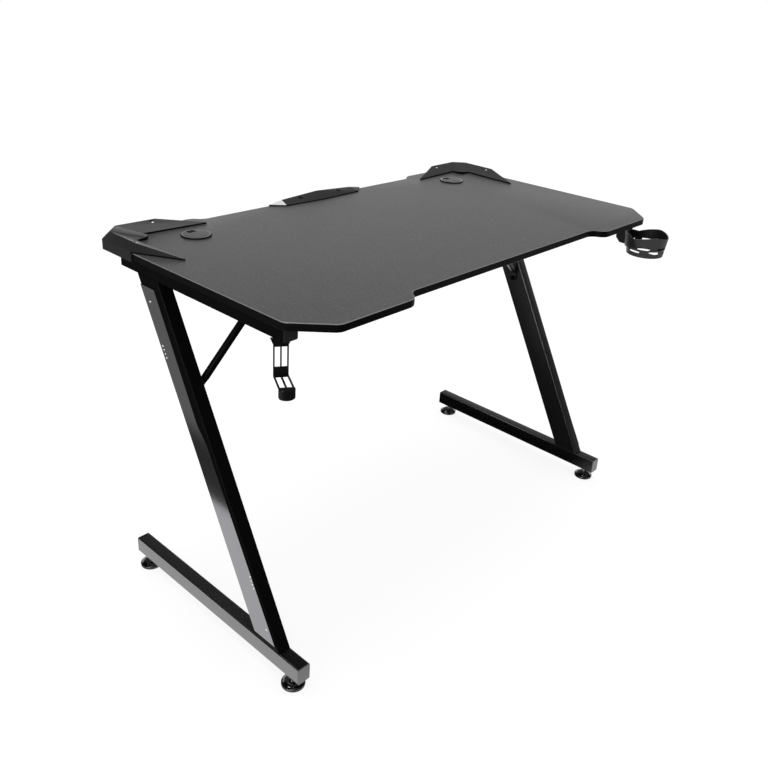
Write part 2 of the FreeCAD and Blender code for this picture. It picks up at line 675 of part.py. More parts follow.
def make_crossbar_flange(name, side):
    body = add_node("PartDesign::Body", f"crossbar_flange_{name}")
    half = d.flange_length / 2
    plate = box_run(d.crossbar_place - half, crossbar_under, d.crossbar_place + half, board_under)
    face, back = inner_face * side, (inner_face - d.flange_thickness) * side
    bolts = [(y, z, d.bolt_radius) for y, z in flange_bolt_places()]
    pad(body, "YZ", *((face, back) if side < 0 else (back, face)), [plate], bolts)


def make_brace(name, side):
    """A round bar whose ends are flattened, bent and bolted to the column and the crossbar."""
    half_tab = d.brace_tab.number / 2
    width = d.brace_tab_width.number
    radius = d.brace_radius.number
    middle = d.crossbar_place.number
    low = vector(inner_face - d.brace_tab / 2, middle, brace_bolt_height + d.brace_bend_gap)
    high = vector(brace_bolt_place + d.brace_bend_gap, middle, crossbar_under - d.brace_tab / 2)
    along = (high - low).normalize()
    taper = along * d.brace_taper.number

    def flat_wire(point):
        across = along.cross(Y_AXIS) * half_tab
        broad = Y_AXIS * (width / 2)
        corners = [point + across + broad, point + across - broad,
                   point - across - broad, point - across + broad]
        return Part.makePolygon(corners + corners[:1])

    def round_wire(point):
        return Part.Wire([Part.makeCircle(radius, point, along)])

    def tab(bolt, knee):
        """A flat end from the bend to a rounded end about the bolt."""
        run = bolt - knee
        outward = run.normalize().cross(Y_AXIS) * half_tab
        start = knee - Y_AXIS * (width / 2) - outward
        plate = Part.makePlane((bolt - knee).Length, width, start, outward, run)
        plate = plate.extrude(outward * 2)
        end = Part.makeCylinder(width / 2, half_tab * 2, bolt - outward, outward)
        knuckle = Part.makeCylinder(half_tab, width, knee - Y_AXIS * (width / 2), Y_AXIS)
        hole = Part.makeCylinder(d.bolt_radius.number, half_tab * 4, bolt - outward * 2, outward)
        return plate.fuse([end, knuckle]), hole

    low_bolt = low - Z_AXIS * d.brace_bend_gap.number
    high_bolt = high - X_AXIS * d.brace_bend_gap.number
    low_tab, low_hole = tab(low_bolt, low)
    high_tab, high_hole = tab(high_bolt, high)
    length = (high - low).Length - 2 * d.brace_taper.number
    bar = Part.makeCylinder(radius, length, low + taper, along)
    tapers = [Part.makeLoft([flat_wire(low), round_wire(low + taper)], True, True),
              Part.makeLoft([round_wire(high - taper), flat_wire(high)], True, True)]
    brace = bar.fuse(tapers + [low_tab, high_tab]).cut([low_hole, high_hole]).removeSplitter()
    add_shape(f"brace_{name}", brace if side > 0 else brace.mirror(vector(0, 0, 0), X_AXIS))


# Cable outlets: a fixed liner and a cap that turns in it
def make_outlet(name, side):
    top = d.desk_height
    ring = d.grommet_flange_height
    liner = add_node("PartDesign::Body", f"grommet_liner_{name}")
    revolve(liner, [
        (d.grommet_bore_radius, -d.board_thickness),
        (d.grommet_sleeve_radius, -d.board_thickness),
        (d.grommet_sleeve_radius, 0),
        (d.grommet_flange_radius, 0),
        (d.grommet_flange_radius, ring / 2),
        (d.grommet_flange_radius - ring / 2, ring),
        (d.grommet_seat_radius, ring),
        (d.grommet_seat_radius, d.grommet_seat_floor),
        (d.grommet_bore_radius, d.grommet_seat_floor),
    ])
    cap = add_node("PartDesign::Body", f"grommet_cap_{name}")
    edge = d.grommet_seat_radius - d.cap_gap
    base = d.grommet_seat_floor + d.cap_gap
    skirt = d.grommet_bore_radius - d.fit_gap
    foot = d.grommet_seat_floor - d.cap_skirt_depth
    revolve(cap, [
        (0, base),
        (skirt - d.cap_skirt_wall, base),
        (skirt - d.cap_skirt_wall, foot),
        (skirt, foot),
        (skirt, base),
        (edge, base),
        (edge, ring),
        (edge - d.cap_rise, ring + d.cap_rise / 2),
        (0, ring + d.cap_rise),
    ])
    half = d.cap_notch_width / 2
    notch = box_run(-half, edge - d.cap_notch_depth, half, edge + d.cap_notch_depth)
    cut(cap, "XY", foot, ring + d.cap_rise, [notch])
    for node in (liner, cap):
        place_node(node, grommet_x * side, grommet_y, top)


# Faceted trim: corner guards and rear spoiler
def facet_solid(facets):
    """A closed solid from flat facets, each a list of points."""
    faces = [Part.Face(Part.makePolygon(facet + facet[:1])) for facet in facets]
    solid = Part.Solid(Part.makeShell(faces))
    solid.fix(TOUCH, TOUCH, TOUCH)
    return solid


def prism_walls(top):
    """Upright walls and a floor at height zero below a ring of top points."""
    floor = [FreeCAD.Vector(p.x, p.y, 0) for p in top]
    walls = [[floor[i - 1], floor[i], top[i], top[i - 1]] for i in range(len(top))]
    return walls + [floor]


def screw_hole(x, y, seat, head_top):
    """Space for a trim screw's shank and for its head, above a place on the board."""
    shank = Part.makeCylinder(d.wood_screw_radius.number, seat.number, vector(x, y, 0))
    head = Part.makeCylinder((d.wood_screw_head + d.fit_gap).number, head_top, vector(x, y, seat))
    return shank.fuse(head)


def make_guard(name, side):
    """Corner guard: two wings with ridges, a raised nose between them and a skirt over the edge.

    Its points are measured inwards from the tabletop's corner and up from the tabletop.
    """
    wall = d.guard_wall
    far, near = d.guard_ridge_far, d.guard_ridge_near

    def pair(along, across, height):
        return vector(along, across, height), vector(across, along, height)

    base_far, base_far_2 = pair(far, -wall, d.guard_edge)
    corner, corner_2 = pair(d.guard_corner, -wall, d.guard_edge)
    ridge_far, ridge_far_2 = pair(far, d.guard_ridge_inset, d.guard_ridge_far_height)
    ridge_near, ridge_near_2 = pair(near, d.guard_ridge_inset, d.guard_ridge_near_height)
    tip, tip_2 = pair(d.guard_tip_along, d.guard_tip_across, d.guard_tip_height)
    notch, notch_2 = pair(d.guard_notch_along, d.guard_notch_across, d.guard_notch_height)
    nose, nose_2 = pair(d.guard_nose_long, d.guard_nose_short, d.guard_nose_height)
    rim = [base_far, corner, corner_2, base_far_2, tip_2, notch_2, nose_2, nose, notch, tip]
    shared = [[corner, corner_2, ridge_near_2, ridge_near], [ridge_near, ridge_near_2, nose_2, nose]]
    wing = [[base_far, corner, ridge_near], [base_far, ridge_near, ridge_far],
            [base_far, ridge_far, tip], [ridge_far, ridge_near, tip],
            [ridge_near, notch, tip], [ridge_near, nose, notch]]
    wing_2 = [[base_far_2, corner_2, ridge_near_2], [base_far_2, ridge_near_2, ridge_far_2],
              [base_far_2, ridge_far_2, tip_2], [ridge_far_2, ridge_near_2, tip_2],
              [ridge_near_2, notch_2, tip_2], [ridge_near_2, nose_2, notch_2]]
    shell = facet_solid(prism_walls(rim) + shared + wing + wing_2)

    # The skirt follows the board's edge, with the rear corner's slant.
    zero = as_size(0)
    board_cut = d.rear_corner_cut
    inner = [vector(zero, far, 0), vector(zero, board_cut, 0),
             vector(board_cut, zero, 0), vector(far, zero, 0)]
    outer = [FreeCAD.Vector(p.x, p.y, 0) for p in (base_far, corner, corner_2, base_far_2)]
    strip = Part.Face(Part.makePolygon(outer + inner + outer[:1]))
    skirt = strip.extrude(FreeCAD.Vector(0, 0, -d.guard_drop.number))
    guard = shell.fuse(skirt)
    along, across = d.guard_screw_along, d.guard_screw_across
    top = d.guard_ridge_near_height.number
    holes = [screw_hole(a, b, d.guard_screw_seat, top) for a, b in ((along, across), (across, along))]
    guard = guard.cut(holes).removeSplitter()
    # From corner measures to the desk: the corner is at the right rear, and the left is its mirror.
    guard = guard.mirror(vector(0, 0, 0), X_AXIS).mirror(vector(0, 0, 0), Y_AXIS)
    guard.translate(vector(half_width, half_depth, d.desk_height))
    add_shape(f"corner_guard_{name}", guard if side > 0 else guard.mirror(vector(0, 0, 0), X_AXIS))


def make_spoiler():
    """Low wing in the rear recess: a bent ridge at the back and sloping facets to the front."""
    lip = d.spoiler_lip

    def point(x, depth, height):
        return vector(x, -as_size(depth), height)

    def mirrored(p):
        return FreeCAD.Vector(-p.x, p.y, p.z)

    front = point(0, d.spoiler_depth, lip)
    shoulder = point(d.spoiler_shoulder, d.spoiler_shoulder_depth, lip)
    tip = point(d.spoiler_half, 0, lip)
    ridge_end = point(d.spoiler_ridge_half, 0, d.spoiler_shoulder_height)
    ridge = point(0, 0, d.spoiler_height)
    rim = [front, shoulder, tip, ridge_end, ridge, mirrored(ridge_end), mirrored(tip), mirrored(shoulder)]
    half = [[front, shoulder, ridge], [shoulder, ridge_end, ridge], [shoulder, tip, ridge_end]]
    other = [[mirrored(p) for p in facet] for facet in half]
    wing = facet_solid(prism_walls(rim) + half + other)
    holes = [screw_hole(d.spoiler_screw_place * side, -d.spoiler_screw_setback,
                        d.spoiler_screw_seat, d.spoiler_height.number) for _, side in SIDES]
    wing = wing.cut(holes).removeSplitter()
    wing.translate(vector(0, rear_edge, d.desk_height))
    add_shape("rear_spoiler", wing)


# Cup holder under the right beam
def accessory_screw_places(side):
    """Screws that hold the headset hook under the left beam, or the cup holder under the right."""
    front = -upper_beam_front
    if side < 0:
        return [(d.hook_side - leg_offset, front + d.hook_setback)]
    rear = front + d.cup_plate_length
    gap = d.cup_plate_length / 4
    return [(leg_offset, rear - gap / 2), (leg_offset, rear - gap / 2 - gap)]


cup_middle = -upper_beam_front - d.cup_reach
cup_under = upper_beam_under - d.cup_drop


def repeat_round(body, feature, count):
    """Repeats a cut evenly round the body's own Z axis."""
    pattern = body.newObject("PartDesign::PolarPattern", f"{feature.Name}_round")
    pattern.Originals = [feature]
    upright = next(f for f in body.Origin.OriginFeatures if f.Role == "Z_Axis")
    pattern.Axis = (upright, [""])
    pattern.Angle = 360
    pattern.setExpression("Occurrences", count.formula)
    body.Tip = pattern
    doc.recompute()


def make_cup_basket():
    """A tapered basket with two staggered rows of slots and a rim that rises to peaks."""
    body = add_node("PartDesign::Body", "cup_holder_basket")
    lean = (d.cup_rim_radius - d.cup_floor_radius) / d.cup_height
    inner_floor = d.cup_floor_radius - d.cup_wall + lean * d.cup_floor
    revolve(body, [
        (d.cup_drain_radius, 0),
        (d.cup_floor_radius, 0),
        (d.cup_rim_radius, d.cup_height),
        (d.cup_rim_radius - d.cup_wall, d.cup_height),
        (inner_floor, d.cup_floor),
        (d.cup_drain_radius, d.cup_floor),
    ])
    half = d.cup_bar / 2
    for across, along in ((half, d.cup_drain_radius), (d.cup_drain_radius, half)):
        pad(body, "XY", 0, d.cup_floor, [box_run(-across, -along, across, along)])
    half, rise = d.cup_slot_width / 2, d.cup_slot_height / 2
    for plane, height in (("XZ", d.cup_slot_upper), ("YZ", d.cup_slot_lower)):
        slot = cut(body, plane, -d.cup_rim_radius, 0, [box_run(-half, height - rise, half, height + rise)])
        repeat_round(body, slot, d.cup_slot_count)
    half, above = d.cup_dip_width / 2, d.cup_height + d.cup_wall
    dip = cut(body, "YZ", -d.cup_rim_radius, 0, [[
        (-half, above), (-half, d.cup_height), (0, d.cup_height - d.cup_rim_dip),
        (half, d.cup_height), (half, above)]])
    repeat_round(body, dip, d.cup_rim_peaks)
    turn = FreeCAD.Rotation(Z_AXIS, -d.cup_turn.number)
    body.Placement = FreeCAD.Placement(vector(leg_offset, cup_middle, cup_under), turn)


def side_prism(outline, low, high):
    """A prism from one x to another, from a closed outline of (y, z) points."""
    corners = [vector(low, y, z) for y, z in outline]
    face = Part.Face(Part.makePolygon(corners + corners[:1]))
    return face.extrude(vector(high - low, 0, 0))


def make_cup_bracket():
    """A plate under the beam, a block at the beam's end and a pointed arm round the basket's inner side."""
    height = d.cup_height.number
    floor, rim = d.cup_floor_radius.number, d.cup_rim_radius.number
    arm = d.cup_arm.number
    basket = Part.makeCone(floor, rim, height)
    collar = Part.makeCone(floor + arm, rim + arm, height)
    beam_end, top, foot = d.cup_reach, d.cup_drop, d.cup_arm_foot
    block_outline = [
        (d.cup_floor_radius, top),
        (beam_end, top),
        (beam_end, foot + d.cup_block_slope),
        (beam_end - d.cup_block_slope, foot),
        (d.cup_floor_radius, foot),
    ]
    arm_outline = [(d.cup_arm_tip, d.cup_arm_tip_rise), (d.cup_arm_crest, top)] + block_outline[1:]
    half = d.leg_width / 2
    pointed_arm = collar.common(side_prism(arm_outline, -d.cup_rim_radius * 2, as_size(0)))
    block = side_prism(block_outline, -half, half)
    plate = Part.makeBox(d.leg_width.number, d.cup_plate_length.number, d.cup_plate.number,
                         vector(-half, beam_end, top - d.cup_plate))
    bracket = pointed_arm.fuse([block, plate]).cut(basket)
    radius = d.wood_screw_radius.number
    holes = [Part.makeCylinder(radius, top.number, vector(x - leg_offset, y - cup_middle, 0))
             for x, y in accessory_screw_places(1)]
    bracket = bracket.cut(holes).removeSplitter()
    bracket.translate(vector(leg_offset, cup_middle, cup_under))
    add_shape("cup_holder_bracket", bracket)


# Headset hook under the left beam
def make_hook():
    """A moulded hook: plate, hanger with windows, rising arm with windows and a rounded end block.

    The body's X axis is the hook's reach, and its origin is on its screw at the beam's underside.
    """
    body = add_node("PartDesign::Body", "headset_hook")
    half = d.hook_width / 2
    stock = d.hook_stock
    face = d.hook_hanger
    end = face + d.hook_arm
    arm_end = d.hook_arm_rise - d.hook_drop
    pad(body, "XZ", -half, half, [[
        (-d.hook_heel, 0),
        (-d.hook_heel, -d.hook_plate),
        (face - stock, -d.hook_plate),
        (face - stock, -d.hook_drop - stock),
        (face, -d.hook_drop - stock),
        (end, arm_end - stock),
        (end, arm_end),
        (face, -d.hook_drop),
        (face, 0),
    ]])
    head = half + d.hook_flare
    pad(body, "YZ", face - stock, face, [[
        (-half, -d.hook_flare_height), (half, -d.hook_flare_height), (head, 0), (-head, 0)]])
    rib = d.hook_rib
    openings = [(-half + rib, -rib / 2), (rib / 2, half - rib)]
    hanger = [box_run(left, -d.hook_window_low, right, -d.hook_window_high) for left, right in openings]
    cut(body, "YZ", face - stock, face, hanger)
    arm = [box_run(face + rib, left, end - rib, right) for left, right in openings]
    cut(body, "XY", -d.hook_drop - stock, arm_end, arm)
    side = d.hook_end_width / 2
    nose = d.hook_end_depth - d.hook_end_side
    nose_radius = (side * side + nose * nose) / (nose * 2)
    corner = end + d.hook_end_side
    block = pad(body, "XY", arm_end - d.hook_end_height, arm_end, [[
        (end, -side), (corner, -side, nose_radius, True), (corner, side), (end, side)]])
    foot = (arm_end - d.hook_end_height).number

    def lower_front(edge):
        return edge.BoundBox.ZMax < foot + TOUCH and edge.BoundBox.XMax > end.number + TOUCH

    round_edges(body, block, d.hook_end_round, lower_front)
    cut(body, "XY", -d.hook_plate, 0, circles=[(0, 0, d.wood_screw_radius)])
    turn = -90 - d.hook_turn.number
    place = vector(*accessory_screw_places(-1)[0], upper_beam_under)
    body.Placement = FreeCAD.Placement(place, FreeCAD.Rotation(Z_AXIS, turn))


# Fasteners: each node is a group of separate solids
def fastener(point, axis, head_radius, head_height, shank_radius, shank_length):
    """A screw whose head lies below the point and whose shank runs from it along the axis."""
    head = Part.makeCylinder(head_radius.number, head_height.number, point, -axis)
    shank = Part.makeCylinder(shank_radius.number, as_size(shank_length).number, point, axis)
    return head.fuse(shank).removeSplitter()


def frame_bolt(point, axis, grip):
    return fastener(point, axis, d.bolt_head_radius, d.bolt_head_height, d.bolt_radius,
                    as_size(grip) + d.bolt_reach)


def wood_screw(point, axis, length):
    return fastener(point, axis, d.wood_screw_head, d.wood_screw_head_height, d.wood_screw_radius, length)


def add_group(name, solids):
    add_shape(name, Part.makeCompound(solids))


def make_fasteners():
    wall = d.tube_wall
    for name, side in SIDES:
        foot = column_bolt_places(side, -column_foot_reach)
        head = column_bolt_places(side, column_head_reach)
        low = [frame_bolt(vector(x, y, foot_beam_top - wall), Z_AXIS, wall) for x, y in foot]
        high = [frame_bolt(vector(x, y, upper_beam_under + wall), -Z_AXIS, wall) for x, y in head]
        add_group(f"column_bolts_{name}", low + high)
    flange_bolts = [frame_bolt(vector((inner_face - d.flange_thickness) * side, y, z), X_AXIS * side,
                               d.flange_thickness + wall)
                    for _, side in SIDES for y, z in flange_bolt_places()]
    add_group("crossbar_bolts", flange_bolts)
    brace_bolts = []
    for _, side in SIDES:
        column_point = vector((inner_face - d.brace_tab) * side, d.crossbar_place, brace_bolt_height)
        brace_bolts.append(frame_bolt(column_point, X_AXIS * side, d.brace_tab + wall))
        bar_point = vector(brace_bolt_place * side, d.crossbar_place, crossbar_under - d.brace_tab)
        brace_bolts.append(frame_bolt(bar_point, Z_AXIS, d.brace_tab + wall))
    add_group("brace_bolts", brace_bolts)
    board_length = wall + d.wood_screw_bite
    add_group("board_screws", [wood_screw(vector(x, y, board_under - wall), Z_AXIS, board_length)
                               for x, y in beam_screw_places()])
    trim = [(x, y, d.guard_screw_seat) for x, y in guard_screw_places()]
    trim += [(x, y, d.spoiler_screw_seat) for x, y in spoiler_screw_places()]
    add_group("trim_screws", [wood_screw(vector(x, y, d.desk_height + seat), -Z_AXIS,
                                         seat + d.wood_screw_bite) for x, y, seat in trim])
    cup_grip = d.cup_plate + wall * 2
    add_group("cup_holder_screws", [wood_screw(vector(x, y, upper_beam_under - d.cup_plate), Z_AXIS, cup_grip)
                                    for x, y in accessory_screw_places(1)])
    hook_grip = d.hook_plate + wall * 2
    x, y = accessory_screw_places(-1)[0]
    hook_screw = wood_screw(vector(x, y, upper_beam_under - d.hook_plate), Z_AXIS, hook_grip)
    add_group("headset_hook_screw", [hook_screw])


make_board()
for name, side in SIDES:
    make_leg(name, side)
    for end, y in FOOT_PLACES:
        make_levelling_foot(f"{end}_{name}", leg_offset * side, y)
    make_crossbar_flange(name, side)
    make_brace(name, side)
    make_outlet(name, side)
    make_guard(name, side)
make_crossbar()
make_spoiler()
make_cup_basket()
make_cup_bracket()
make_hook()
make_fasteners()
doc.recompute()

for item in doc.Objects:
    if "Invalid" in item.State or "Error" in item.State:
        raise RuntimeError(f"{item.Label} did not build: {item.State}")
for node in nodes:
    if node.Shape.isNull() or not node.Shape.isValid():
        raise RuntimeError(f"{node.Label} has no valid shape")

# The desk's origin is on the floor, in the middle of its whole footprint.
footprint = FreeCAD.BoundBox()
for node in nodes:
    footprint.add(node.Shape.optimalBoundingBox(False, False))
to_origin = FreeCAD.Vector(-footprint.Center.x, -footprint.Center.y, 0)
print(f"moved to the middle of the footprint by {to_origin.x:.4f}, {to_origin.y:.4f}")

os.makedirs("parts", exist_ok=True)
for node in nodes:
    shape = node.Shape.copy()
    shape.translate(to_origin)
    shape.exportStep(f"parts/{node.Label}.step")
print(f"{len(nodes)} sub-parts written")
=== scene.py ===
"""Looks of the gaming desk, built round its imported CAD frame."""

import json
import math

import bmesh
import bpy
from mathutils import Matrix, Vector


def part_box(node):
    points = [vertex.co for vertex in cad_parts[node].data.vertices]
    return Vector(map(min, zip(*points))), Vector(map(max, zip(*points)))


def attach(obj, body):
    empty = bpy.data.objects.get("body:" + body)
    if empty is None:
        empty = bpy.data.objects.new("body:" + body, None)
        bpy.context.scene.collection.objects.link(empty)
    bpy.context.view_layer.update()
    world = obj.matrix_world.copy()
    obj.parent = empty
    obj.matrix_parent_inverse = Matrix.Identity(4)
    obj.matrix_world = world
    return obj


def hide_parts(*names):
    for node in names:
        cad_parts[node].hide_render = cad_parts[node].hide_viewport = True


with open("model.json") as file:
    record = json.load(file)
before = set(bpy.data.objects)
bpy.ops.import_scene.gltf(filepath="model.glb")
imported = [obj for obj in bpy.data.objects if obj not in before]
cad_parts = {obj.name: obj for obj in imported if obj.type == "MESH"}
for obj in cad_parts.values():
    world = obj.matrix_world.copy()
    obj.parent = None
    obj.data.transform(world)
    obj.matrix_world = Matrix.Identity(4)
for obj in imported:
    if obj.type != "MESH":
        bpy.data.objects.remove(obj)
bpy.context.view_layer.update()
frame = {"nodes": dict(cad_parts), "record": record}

bl_info = {
    "name": "Gaming Desk Looks",
    "version": (1, 0, 0),
    "blender": (4, 5, 0),
    "location": "3D View > Sidebar > Desk",
    "description": "Dresses the CAD frame of a gaming desk with finished pieces, materials and a studio",
    "category": "Object",
}

MM = 0.001
SIDES = ("left", "right")
CORNERS = ("front_left", "front_right", "rear_left", "rear_right")
FRAME_BODY = "desk_frame"
# Vertices closer than this are one vertex, and faces within this angle are one flat face.
MERGE = 0.005 * MM
FLAT_ANGLE = math.radians(0.6)
SHARP_ANGLE = math.radians(32)
# Segments of a rounded edge, and octaves of noise in a grain.
EDGE_SEGMENTS = 3
GRAIN_DETAIL = 3.0
# A face looks in a direction when its normal's part in that direction is more than this.
FACING = 0.5
UP = Vector((0.0, 0.0, 1.0))


def linear(hex_colour):
    """An sRGB hex colour as linear red, green and blue."""
    parts = [int(hex_colour[place:place + 2], 16) / 255 for place in (0, 2, 4)]
    return tuple(c / 12.92 if c <= 0.04045 else ((c + 0.055) / 1.055) ** 2.4 for c in parts)


def length(name, description, millimetres):
    """A length property with its default in millimetres."""
    return bpy.props.FloatProperty(name=name, description=description, default=millimetres * MM,
                                   min=0.0, precision=5, unit="LENGTH")


def colour(name, description, hex_colour):
    """A colour property with its default as an sRGB hex value."""
    return bpy.props.FloatVectorProperty(name=name, description=description, subtype="COLOR",
                                         size=3, min=0.0, max=1.0, default=linear(hex_colour))


def setting(name, description, value, unit="NONE"):
    """A plain number property that can't be negative."""
    return bpy.props.FloatProperty(name=name, description=description, default=value, min=0.0, unit=unit)


def rotation(name, description, degrees):
    """An angle property with its default in degrees."""
    return bpy.props.FloatProperty(name=name, description=description, default=math.radians(degrees),
                                   subtype="ANGLE")


class DeskSizes(bpy.types.PropertyGroup):
    """Sizes of the details that the frame leaves plain."""

    trim_edge: length("Trim edge", "rounding of the facets' edges on guards and spoiler", 0.9)
    corner_setback: length("Corner setback", "start of the rounding before a corner of the tabletop", 8.0)
    moulding_edge: length("Moulding edge", "rounding of plugs, flanges, hook and cup bracket", 0.7)
    basket_edge: length("Basket edge", "rounding of the cup holder's rim and slots", 0.5)
    cap_edge: length("Cap edge", "rounding of the outlets' caps", 0.3)
    pad_groove: length("Pad groove", "depth of the groove round a levelling pad", 0.6)
    thread_pitch: length("Thread pitch", "pitch of the levelling studs", 1.5)
    thread_depth: length("Thread depth", "depth of the studs' thread", 0.75)
    recess_width: length("Recess width", "one bar of the cross recess in a screw's head", 1.5)
    recess_depth: length("Recess depth", "cross recess below the top of a screw's head", 1.3)
    screw_seat: length("Screw seat", "seat of a trim screw's head below its CAD top", 2.5)
    screw_dome: length("Screw dome", "height of a trim screw's domed head over its seat", 4.6)
    rivet_radius: length("Rivet radius", "small rivets in the column covers", 2.2)
    foot_rivet_radius: length("Foot rivet", "rivet on a foot beam before its column", 2.4)
    rivet_spacing: length("Rivet spacing", "rise from one rivet to the next in a row", 6.7)
    cover_screw_radius: length("Cover screw", "screw heads in the column covers", 2.6)


class DeskColours(bpy.types.PropertyGroup):
    """Colours of the finishes."""

    laminate: colour("Laminate", "dark foil on the tabletop", "434344")
    laminate_fleck: colour("Laminate fleck", "lighter flecks in the foil", "68686A")
    edge_band: colour("Edge band", "black edge band of the tabletop", "090909")
    paint: colour("Paint", "powder coat on the steel frame", "0B0B0B")
    trim: colour("Trim", "tops of the moulded guards", "353536")
    # Also painted shade: this darker colour on the guards' walls and on the rear and upper plugs.
    spoiler: colour("Spoiler", "moulded spoiler, walls of the guards and dark plugs", "2A2A2B")
    # Painted shadow: near-black for the shade under the trim's rims and round the outlets' liners.
    under_rim_shade: colour("Gasket", "foam in the shadow under the trim", "050505")
    # On the spoiler's right end facet this grey is a painted highlight.
    outlet: colour("Outlet", "moulded cable outlets and the spoiler's right end facet", "434344")
    cover: colour("Cover", "metallised film on the column covers", "949496")
    plug: colour("Plug", "moulded tube plugs", "525254")
    foot: colour("Foot", "gloss moulded levelling pads", "0A0A0A")
    hook: colour("Hook", "moulded headset hook", "161617")
    # Painted shade: black for the inside of the basket, where shade falls.
    basket_shade: colour("Basket inside", "inside of the cup holder's basket", "0B0B0C")
    cup_holder: colour("Cup holder", "moulded cup holder", "48484A")
    # Painted highlight: this pale colour on the spoiler's left end facet.
    end_highlight: colour("End facet", "silver paint on the spoiler's left end facet", "E6E6E8")
    black_oxide: colour("Black oxide", "blackened bolts", "1A1A1B")
    zinc: colour("Zinc", "zinc plating on screws and studs", "C9CACC")
    passivated: colour("Passivated zinc", "small screw and rivet heads", "F2F2F4")
    steel: colour("Steel", "plain steel plates and inserts", "A8A9AB")
    # Painted highlight: this pale colour on the tabletop's upper edge stands for the light that the edge
    # catches.
    edge_highlight_tint: colour("Arris", "trimmed top edge of the tabletop's foil", "8A8A8C")
    floor: colour("Floor", "studio floor", "F4F4F4")


class DeskStudio(bpy.types.PropertyGroup):
    """Light and view of the studio."""

    key_power: setting("Key light", "large soft light over the desk, in watts", 26.0, "POWER")
    front_power: setting("Front light", "small light by the camera, in watts", 0.8, "POWER")
    side_power: setting("Side panel", "panel that only reflections show, in watts", 220.0, "POWER")
    fill_strength: setting("Fill", "soft light from all round", 0.62)
    focal_length: setting("Focal length", "lens of the camera, in millimetres", 39.216, "CAMERA")
    camera_yaw: rotation("Yaw", "camera's turn from +Y towards +X", 48.114)
    camera_pitch: rotation("Pitch", "camera's dip below the horizon", 23.712)
    camera_roll: rotation("Roll", "camera's turn about its own view", 3.322)
    camera_place: bpy.props.FloatVectorProperty(
        name="Camera", description="camera's place from the floor under the tabletop's middle", size=3,
        default=(-1.3114, -1.1184, 1.2330), subtype="TRANSLATION")
    camera_shift: bpy.props.FloatVectorProperty(name="Shift", description="camera's shift across and up",
                                                size=2, default=(0.0051, -0.0618))


# Materials
def add_node(tree, kind, settings=None, links=None):
    """Adds a node to a tree, with its settings by input or property name and its links by input.

    An input that shares its name is given by its number. A link comes from a socket, or from the first
    output of a node.
    """
    node = tree.nodes.new(kind)
    for name, value in (settings or {}).items():
        if isinstance(name, int) or name in node.inputs:
            node.inputs[name].default_value = value
        else:
            setattr(node, name, value)
    for name, source in (links or {}).items():
        tree.links.new(getattr(source, "outputs", [source])[0], node.inputs[name])
    return node


def rgba(colour_value):
    """A colour with full cover."""
    return (*colour_value, 1.0)


def start_material(name, settings):
    """A material with one Principled shader; returns the material, its tree and the shader."""
    material = bpy.data.materials.new(name)
    material.use_nodes = True
    tree = material.node_tree
    shader = tree.nodes["Principled BSDF"]
    for socket, value in settings.items():
        shader.inputs[socket].default_value = value
    return material, tree, shader


def add_grain(tree, shader, grain_mm, strength, depth_mm):
    """Fine moulded or sprayed grain as a bump on Object coordinates; returns its noise."""
    place = add_node(tree, "ShaderNodeTexCoord")
    noise = add_node(tree, "ShaderNodeTexNoise", {"Scale": 1 / (grain_mm * MM), "Detail": GRAIN_DETAIL},
                     {"Vector": place.outputs["Object"]})
    bump = add_node(tree, "ShaderNodeBump", {"Strength": strength, "Distance": depth_mm * MM},
                    {"Height": noise})
    tree.links.new(bump.outputs["Normal"], shader.inputs["Normal"])
    return noise


# Noise in the foil goes from the ground's colour to the fleck's between these values.
FLECK_RANGE = (0.52, 0.74)


def foil_laminate(colours):
    """Printed paper foil on particle board: dark, half matt, with a faint fleck.

    The real fleck is about 0.4 mm; it is drawn at 2.2 mm so that it shows in the render.
    """
    material, tree, shader = start_material("foil_laminate", {
        "Roughness": 0.40, "IOR": 1.5, "Base Color": rgba(colours.laminate)})
    noise = add_grain(tree, shader, grain_mm=2.2, strength=0.10, depth_mm=0.15)
    ramp = add_node(tree, "ShaderNodeValToRGB", links={"Fac": noise})
    tints = (colours.laminate, colours.laminate_fleck)
    for stop, position, tint in zip(ramp.color_ramp.elements, FLECK_RANGE, tints):
        stop.position = position
        stop.color = rgba(tint)
    tree.links.new(ramp.outputs["Color"], shader.inputs["Base Color"])
    return material


